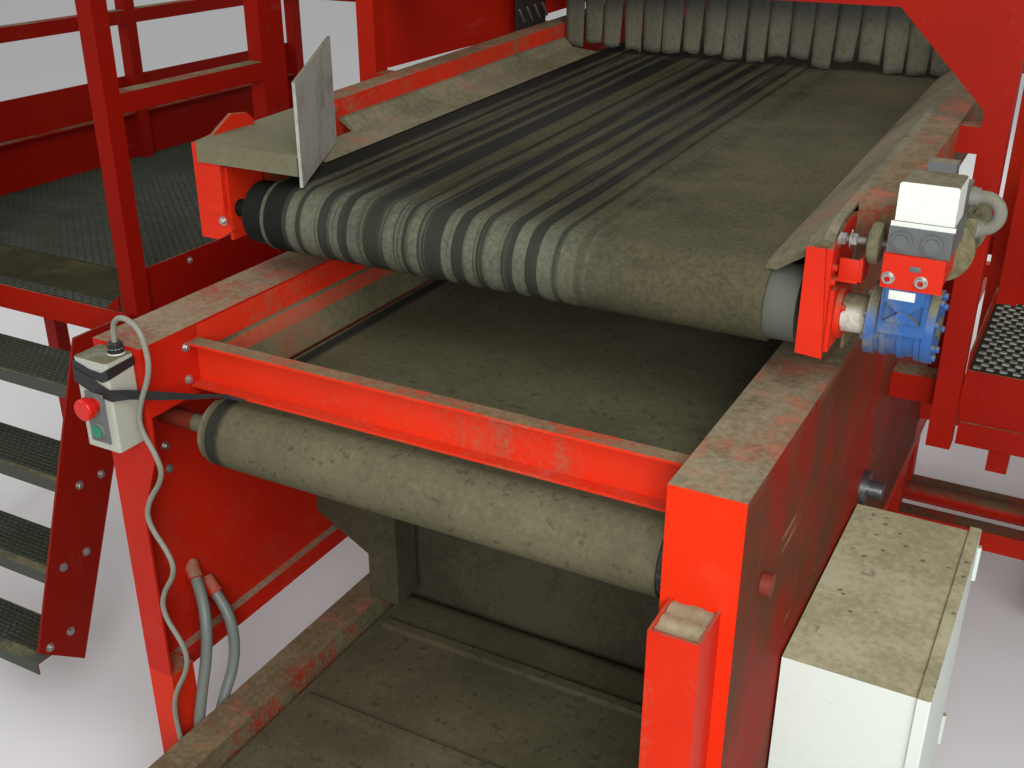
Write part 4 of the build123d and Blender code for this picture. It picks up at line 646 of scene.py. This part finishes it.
def plate(shape, corners, thickness):
    """A flat sheet through corner points in millimetres, swept by its thickness."""
    face = shape.faces.new([shape.verts.new(Vector(point) / 1000) for point in corners])
    face.normal_update()
    push = face.normal * thickness / 1000
    swept = bmesh.ops.extrude_face_region(shape, geom=[face])
    bmesh.ops.translate(shape, vec=push, verts=swept_verts(swept))

def keep(name, shape, material, body="machine"):
    """Make a bmesh a piece that rides on a body, its curved faces smooth and its edges sharp."""
    bmesh.ops.recalc_face_normals(shape, faces=shape.faces)
    mesh = bpy.data.meshes.new(name)
    shape.to_mesh(mesh)
    shape.free()
    mesh.shade_smooth()
    mesh.set_sharp_from_angle(angle=math.radians(35))
    mesh.materials.append(material)
    piece = bpy.data.objects.new(name, mesh)
    bpy.context.scene.collection.objects.link(piece)
    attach(piece, body)
    print(name, len(mesh.polygons), "faces")
    return piece

# %% [markdown]
# A hexagon bolt is a turned washer under a six-sided head whose top edge is chamfered. One function
# adds any number of them to one mesh, each at a point and facing a direction.

# %% Hexagon bolts
WASHER = 1.6                                 # thickness in millimetres
FLATS_TO_RADIUS = 0.577                      # a hexagon's corner radius for 1 across its flats

def bolt(shape, at, along, across=13.0):
    """A washer and a head that is so many millimetres across its flats."""
    rim = across * 0.85
    lathe(shape, [(0, 0), (rim, 0), (rim, WASHER), (0, WASHER)], at, along, 16)
    depth, radius = across * 0.5 / 1000, across * FLATS_TO_RADIUS / 1000
    head = bmesh.ops.create_cone(shape, cap_ends=True, segments=6, radius1=radius, radius2=radius,
                                 depth=depth)["verts"]
    known = set(shape.verts) - set(head)
    top = [edge for edge in shape.edges if edge.verts[0] in head and edge.verts[1] in head
           and min(vert.co.z for vert in edge.verts) > 0]
    bmesh.ops.bevel(shape, geom=top, offset=across * 0.06 / 1000, segments=1, profile=0.5,
                    affect="EDGES", material=-1)
    verts = added(shape, known)
    bmesh.ops.translate(shape, vec=(0, 0, WASHER / 1000 + depth / 2), verts=verts)
    set_down(shape, verts, at, along, random.uniform(0, 1))

def bolts(name, spots, material, across=13.0, body="machine"):
    shape = bmesh.new()
    for at, along in spots:
        bolt(shape, at, along, across)
    return keep(name, shape, material, body)

random.seed(7)
RIGHT, LEFT, FRONT, UP = (1, 0, 0), (-1, 0, 0), (0, -1, 0), (0, 0, 1)
STRINGER = [
    (-1213, 858), (-1279, 861), (-1319, 643), (-1385, 646),
    (-1401, 469), (-1471, 466), (-1487, 290), (-1550, 285),
]
FRAME = [
    ((-604, -1290, 1331), FRONT), ((-478, -1558, 1184), RIGHT), ((-478, -1561, 1121), RIGHT),
    ((-585, -1540, 895), RIGHT), ((-585, -1542, 947), RIGHT), ((-1056, -1125, 1029), RIGHT),
    ((-1056, -944, 1072), RIGHT), ((-1056, -200, 1072), RIGHT), ((-1056, 500, 1072), RIGHT),
]
BEARING = [
    (600, -1306, 1436), (600, -1311, 1415), (614, -1279, 1366),
    (614, -1269, 1335), (614, -1221, 1366), (614, -1231, 1335),
]
bolts("stringer_bolts", [((-1060, y, z), RIGHT) for y, z in STRINGER]
      + [((-1600, y, z), LEFT) for y, z in STRINGER], bright_steel)
bolts("frame_bolts", FRAME, bright_steel, across=11.0)
bolts("bearing_bolts", [(point, RIGHT) for point in BEARING], red_paint, across=9.0)

WHEEL_Y, WHEEL_Z, NUT_CIRCLE, RIM_X, NUT = 225, 260, 42, 1135, 19.0
TURNS = [k * math.tau / 5 for k in range(5)]
HUB = [(WHEEL_Y + NUT_CIRCLE * math.cos(turn), WHEEL_Z + NUT_CIRCLE * math.sin(turn))
       for turn in TURNS]
for name, side, way in (("left", -1, LEFT), ("right", 1, RIGHT)):
    bolts(f"wheel_nuts_{name}", [((side * RIM_X, y, z), way) for y, z in HUB],
          bright_steel, NUT, f"wheel_{name}")

# %% [markdown]
# At the mouth of the hopper's housing hangs a curtain of slit rubber strips that slows the crop.
# Each strip is a narrow grid that sways and tapers a little, and a Solidify modifier gives it its
# thickness. Nineteen separate strips let every bottom edge end at its own height, which a single
# sheet can't.

# %% Curtain strips
CURTAIN_X, CURTAIN_Y, CURTAIN_TOP, CURTAIN_LOW, STRIPS = 590.0, 243.0, 1700.0, 1469.0, 19
BAR_LOW, BAR_TOP, BAR_BOLT_Z, BAR_BOLTS = 1690, 1740, 1716, 10
STRIP_WALL = 3.0                             # a strip's thickness in millimetres
shape = bmesh.new()
for near, far in ((CURTAIN_Y - 7, CURTAIN_Y - 4), (CURTAIN_Y + 4, CURTAIN_Y + 7)):
    block(shape, (-CURTAIN_X, near, BAR_LOW), (CURTAIN_X, far, BAR_TOP), 0.8)
block(shape, (-CURTAIN_X, CURTAIN_Y - 4, CURTAIN_TOP), (CURTAIN_X, CURTAIN_Y + 4, BAR_TOP))
spacing = 2 * CURTAIN_X / BAR_BOLTS
for k in range(BAR_BOLTS):
    bolt(shape, (-CURTAIN_X + (k + 0.5) * spacing, CURTAIN_Y - 7, BAR_BOLT_Z), FRONT, 11.0)
curtain_bar = keep("curtain_bar", shape, red_paint)
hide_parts("infeed_curtain")
pitch = 2 * CURTAIN_X / STRIPS
for k in range(STRIPS):
    width, foot, slit = pitch - 0.4, pitch - random.uniform(6.0, 17.0), random.uniform(0.12, 0.4)
    length = CURTAIN_TOP - CURTAIN_LOW - random.choice((0.0, 3.0, 7.0, 12.0, 20.0))
    sway, lean, phase = random.uniform(-5.0, 4.0), random.uniform(-9.0, 3.0), random.uniform(0, 6)
    shape = bmesh.new()
    bmesh.ops.create_grid(shape, x_segments=4, y_segments=14, size=0.5)
    for vert in shape.verts:
        down = 0.5 - vert.co.y
        loose = max(0.0, (down - slit) / (1.0 - slit))
        across = vert.co.x * (width + (foot - width) * loose) + lean * loose ** 1.5
        bow = sway * loose ** 1.5 + 1.2 * math.sin(phase + 5 * down) * loose
        curl = 3.5 * math.sin(phase + 5 * vert.co.x) * down ** 8
        middle = -CURTAIN_X + (k + 0.5) * pitch
        low = CURTAIN_TOP - down * length - curl
        vert.co = Vector((middle + across, CURTAIN_Y - bow, low)) / 1000
    strip = keep(f"curtain_strip_{k + 1:02d}", shape, curtain_rubber)
    wall = strip.modifiers.new("thickness", "SOLIDIFY")
    wall.thickness, wall.offset = STRIP_WALL / 1000, 0.0
    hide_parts("infeed_curtain")
print(STRIPS, "strips, each about", round(pitch), "mm wide")

# %% [markdown]
# The decks and treads are pressed grip plate. A grid of loose cells makes it quickly: every second
# row is shifted by half a cell, then each cell is inset and its inner face raised, which leaves a
# small tooth. The round bumps of the right deck get their corners bevelled first.

# %% Grip plate
LIFT = 0.3                                   # gap under the teeth's sheet in millimetres

def grip(name, x_range, y_range, z, cell, pad, height, teeth, plain=None, bumps=False):
    """Rows of raised teeth on a flat top; plain is a range of Y without teeth."""
    (x0, x1), (y0, y1) = x_range, y_range
    columns, rows = int((x1 - x0) // cell[0]), int((y1 - y0) // cell[1])
    shape = bmesh.new()
    bmesh.ops.create_grid(shape, x_segments=columns, y_segments=rows, size=0.5)
    bmesh.ops.split_edges(shape, edges=shape.edges)
    bmesh.ops.translate(shape, vec=(0.5, 0.5, 0), verts=shape.verts)
    bmesh.ops.scale(shape, vec=((x1 - x0) / 1000, (y1 - y0) / 1000, 1.0), verts=shape.verts)
    bmesh.ops.translate(shape, vec=Vector((x0, y0, z + LIFT)) / 1000, verts=shape.verts)
    shift = (x1 - x0) / columns / 4000       # a quarter of a cell to either side, in metres
    middles = [(face, face.calc_center_median().y * 1000) for face in shape.faces]
    for odd in (0, 1):
        row = [face for face, y in middles if int((y - y0) / (y1 - y0) * rows) % 2 == odd]
        verts = [vert for face in row for vert in face.verts]
        bmesh.ops.translate(shape, vec=(shift if odd else -shift, 0, 0), verts=verts)
    raised = [face for face, y in middles if not plain or not plain[0] < y < plain[1]]
    bmesh.ops.inset_individual(shape, faces=raised, thickness=pad / 1000)
    if bumps:
        corners = list({vert for face in raised for vert in face.verts})
        bmesh.ops.bevel(shape, geom=corners, offset=pad * 0.35 / 1000, segments=1, profile=0.5,
                        affect="VERTICES", material=-1)
        raised = [face for face in shape.faces if len(face.verts) == 8]
    flanks = bmesh.ops.inset_individual(shape, faces=raised, thickness=height * 0.45 / 1000,
                                        depth=height / 1000)["faces"]
    for face in raised + flanks:
        face.material_index = 1
    piece = keep(name, shape, deck_plate)
    piece.data.materials.append(teeth)

DECK_TOP = 1000
TREADS = ((890, -1356, -1217), (680, -1422, -1295), (470, -1490, -1374), (260, -1556, -1453))
# The left deck and the treads take the teeth in painted shade, and the right deck takes the
# brighter teeth in painted light.
grip("left_deck_teeth", (-2190, -1066), (-1154, 944), DECK_TOP, (30, 13), 3.4, 3.5, teeth_painted_shade,
     plain=(-1113, -936))
grip("right_deck_teeth", (762, 2190), (-540, 944), DECK_TOP, (26, 22), 6.5, 3.0, deck_teeth,
     bumps=True)
for number, (top, front, rear) in enumerate(TREADS, 1):
    grip(f"tread_teeth_{number}", (-1590, -1070), (front, rear), top, (20, 12), 2.8, 3.0,
         teeth_painted_shade)

# %% [markdown]
# The stop box is taped to its post. Black tape goes round its upper half twice and runs on as a
# twisted strap to the front rail. A ribbon is two chains of edges, its upper and its lower line,
# with bridged faces between them and a thin Solidify wall. The box also gets its cable gland, the
# rings round its buttons and the dark plate behind them.

# %% Tape, gland and rings of the stop box
TAPE = 0.8                                   # thickness in millimetres

def ribbon(name, stations):
    """A tape between an upper and a lower line, given as pairs of points in millimetres."""
    shape = bmesh.new()
    chains = []
    for line in zip(*stations):
        verts = [shape.verts.new(Vector(point) / 1000) for point in line]
        chains += [shape.edges.new(pair) for pair in zip(verts, verts[1:])]
    bmesh.ops.bridge_loops(shape, edges=chains)
    piece = keep(name, shape, black_plastic)
    piece.data.shade_flat()
    wall = piece.modifiers.new("thickness", "SOLIDIFY")
    wall.thickness, wall.offset = TAPE / 1000, 0.0

def upright(x, y, high, low):
    """A station of a tape whose lower point is straight below its upper one."""
    return (x, y, high), (x, y, low)

BOX_LEFT, BOX_RIGHT, BOX_FRONT, POST_FRONT = -573.5, -492.5, -1728.5, -1666.0
OUTER_LEFT, OUTER_RIGHT, OUTER_FRONT = BOX_LEFT - 1, BOX_RIGHT + 1, BOX_FRONT - 1
ribbon("stop_box_tape", [
    upright(BOX_LEFT, POST_FRONT, 1204, 1190), upright(BOX_LEFT, BOX_FRONT, 1207, 1192),
    upright(-535, BOX_FRONT, 1196, 1180), upright(-508, BOX_FRONT, 1194, 1176),
    upright(BOX_RIGHT, BOX_FRONT, 1203, 1183), upright(BOX_RIGHT, POST_FRONT, 1206, 1190),
])
ribbon("stop_box_tape_low", [
    upright(OUTER_LEFT, POST_FRONT, 1186, 1166), upright(OUTER_LEFT, OUTER_FRONT, 1193, 1165),
    upright(-535, OUTER_FRONT, 1182, 1151), upright(-512, OUTER_FRONT, 1172, 1146),
    upright(OUTER_RIGHT, OUTER_FRONT, 1166, 1144), ((-470, -1706, 1162), (-473, -1706, 1143)),
    ((-440, -1650, 1141), (-444, -1654, 1126)), ((-418, -1600, 1121), (-420, -1606, 1113)),
    ((-395, -1557, 1108), (-396, -1562, 1103)), ((-350, -1556, 1107), (-350, -1560, 1103)),
])

GLAND = (-518, -1680, 1212)
GLAND_OUTLINE = [
    (9.2, 2.6), (13.5, 2.6), (13.5, 8), (12.2, 9), (12.2, 10), (13.2, 11),
    (13.2, 18), (11, 20.5), (5.4, 20.5), (5.4, 16.2), (9.2, 15),
]
shape = bmesh.new()
lathe(shape, [(9.4, 0), (16, 0), (16, 2.5), (9.4, 2.5)], GLAND, UP, 32)
keep("gland_ring", shape, white_plastic)
shape = bmesh.new()
lathe(shape, GLAND_OUTLINE, GLAND, UP, 12)
keep("gland_nut", shape, black_plastic)
shape = bmesh.new()
lathe(shape, [(12.5, 0), (18, 0), (18, 2), (16, 4), (12.5, 4)], (-533, -1727, 1130), FRONT, 32)
lathe(shape, [(12.4, 0), (16, 0), (16, 5), (14.5, 7), (12.4, 7)], (-535, -1727, 1078), FRONT, 32)
keep("button_rings", shape, grey_plastic)
shape = bmesh.new()
block(shape, (-556, -1730.2, 1056), (-511, -1727.5, 1152), 1.0)
keep("button_plate", shape, grey_metal)

# %% [markdown]
# Beside the gearbox a threaded rod with nuts, a bracket and a thick disc holds it against turning.
# The drive also carries a bare white label, a small bare plate, two socket screws and the nuts of
# its conduit.

# %% Details of the drive
ROD_Y, ROD_Z, THREAD_POINTS, HALF_PITCH = -1284.0, 1476.0, 46, 1.5
THREAD = [(5 + 0.8 * (k % 2), 4 + k * HALF_PITCH) for k in range(THREAD_POINTS)]
DISC_OUTLINE = [
    (5.5, 0), (12, 0), (22, 2), (29, 5), (31, 9), (31, 17), (29, 20), (12, 22), (5.5, 22),
]
SCREW_OUTLINE = [(7.3, -0.4), (7.3, 7.6), (6.6, 8.4), (4.3, 8.4), (4.0, 8.0)]
NUT_OUTLINE = [(10.2, 0), (15, 0), (15, 5), (13.5, 7), (13.5, 12), (11.5, 14), (10.2, 14)]
shape = bmesh.new()
lathe(shape, [(0, 0), (5, 0), *THREAD, (5, 76), (0, 76)], (596, ROD_Y, ROD_Z), RIGHT, 16)
keep("torque_rod", shape, bright_steel)
bolts("torque_nuts", [((x, ROD_Y, ROD_Z), RIGHT) for x in (600, 616)],
      bright_steel, 17.0)
shape = bmesh.new()
lathe(shape, DISC_OUTLINE, (640, ROD_Y, ROD_Z), RIGHT, 48)
keep("torque_disc", shape, soiled_plastic)
shape = bmesh.new()
block(shape, (600, -1298, 1413), (640, -1252, 1418), 1.2)
block(shape, (634, -1298, 1413), (640, -1252, 1452), 1.2)
block(shape, (606, -1298, 1416), (636, -1293, 1450), 1.2)
keep("torque_bracket", shape, red_paint)
shape = bmesh.new()
block(shape, (685, -1316.0, 1405.5), (722, -1315.2, 1419.5), 0.2)
keep("bare_label", shape, white_plastic)
shape = bmesh.new()
block(shape, (709, -1320.4, 1452), (724, -1318.8, 1460), 0.4)
keep("bare_plate", shape, grey_metal)
shape = bmesh.new()
for x in (681, 727):
    lathe(shape, SCREW_OUTLINE, (x, -1318, 1438), FRONT, 24)
    lathe(shape, [(9.5, -1.2), (9.5, 0.6), (7.0, 0.6)], (x, -1319, 1438), FRONT, 24)
keep("socket_screws", shape, bright_steel)
shape = bmesh.new()
for x, z in ((757, 1530), (770, 1482)):
    lathe(shape, NUT_OUTLINE, (x, -1160, z), RIGHT, 18)
keep("conduit_nuts", shape, grey_plastic)

# %% [markdown]
# The short post's mouth is caked shut with soil. The crust is a fine grid whose points are raised
# by a few sine waves, with its rim turned down inside.

# %% Crust in the short post
CRUST_AT, CRUST_WIDE, CRUST_LONG, CRUST_DEEP = Vector((542.5, -1701.5, 1036.0)), 64.6, 72.6, 12.0
shape = bmesh.new()
bmesh.ops.create_grid(shape, x_segments=18, y_segments=18, size=0.5)
rim = [edge for edge in shape.edges if edge.is_boundary]
walls = bmesh.ops.extrude_edge_only(shape, edges=rim)
bmesh.ops.translate(shape, vec=(0, 0, -CRUST_DEEP), verts=swept_verts(walls))
for vert in shape.verts:
    x, y, down = vert.co
    wave = 1.5 * math.sin(9 * x + 2 * y) + 1.2 * math.sin(13 * y + 3)
    wave += 0.6 * math.sin(31 * x + 17 * y)
    vert.co = (CRUST_AT + Vector((CRUST_WIDE * x, CRUST_LONG * y, wave + down))) / 1000
keep("post_crust", shape, dusty_crust)

# %% [markdown]
# Left of the curtain, slanted bright bars stand on a dark guard plate at the rail. Each bar is a
# long block turned to its slope by the same helper that places the bolts.

# %% Guard plate with slanted bars
BARS, FIRST_BAR, BAR_STEP, BAR_SLOPE = 4, (88.5, 1572), (49.4, 1.4), (0, -33, 38)
shape = bmesh.new()
block(shape, (-664, 58, 1512), (-661, 247, 1644), 0.8)
keep("guard_plate", shape, black_plastic)
shape = bmesh.new()
for k in range(BARS):
    known = set(shape.verts)
    block(shape, (-2.5, -2.5, -26), (2.5, 2.5, 26), 0.8)
    at = (-658.8, FIRST_BAR[0] + BAR_STEP[0] * k, FIRST_BAR[1] + BAR_STEP[1] * k)
    set_down(shape, added(shape, known), at, BAR_SLOPE)
keep("guard_bars", shape, bright_steel)

# %% [markdown]
# The hopper's walls lean outwards, so a three-cornered gap opens between two neighbours. Small
# plates close the four corners, as a maker would weld them in. A gusset of the same kind braces
# the foot of the left guard's corner post.

# %% Gusset and corner plates
GUSSET = [(-1094, -1154, 1001), (-1132, -1154, 1001), (-1132, -1154, 1006), (-1094, -1154, 1038)]
shape = bmesh.new()
plate(shape, GUSSET, 6)
# The gusset takes the left guard's darker red, which is painted shade.
keep("guard_gusset", shape, red_shaded)

WALL_X, LIP_X, WALL_LOW, WALL_HIGH = 698, 798, 1762, 2058
WALL_FRONT, WALL_REAR, LIP_REAR = 852, 1798, 1898
shape = bmesh.new()
for x, lip in ((-WALL_X, -LIP_X), (WALL_X, LIP_X)):
    for y, lip_y in ((WALL_REAR, LIP_REAR), (WALL_FRONT, WALL_FRONT)):
        plate(shape, [(x, y, WALL_LOW), (lip, y, WALL_HIGH), (x, lip_y, WALL_HIGH)], 2)
keep("hopper_corners", shape, red_paint)
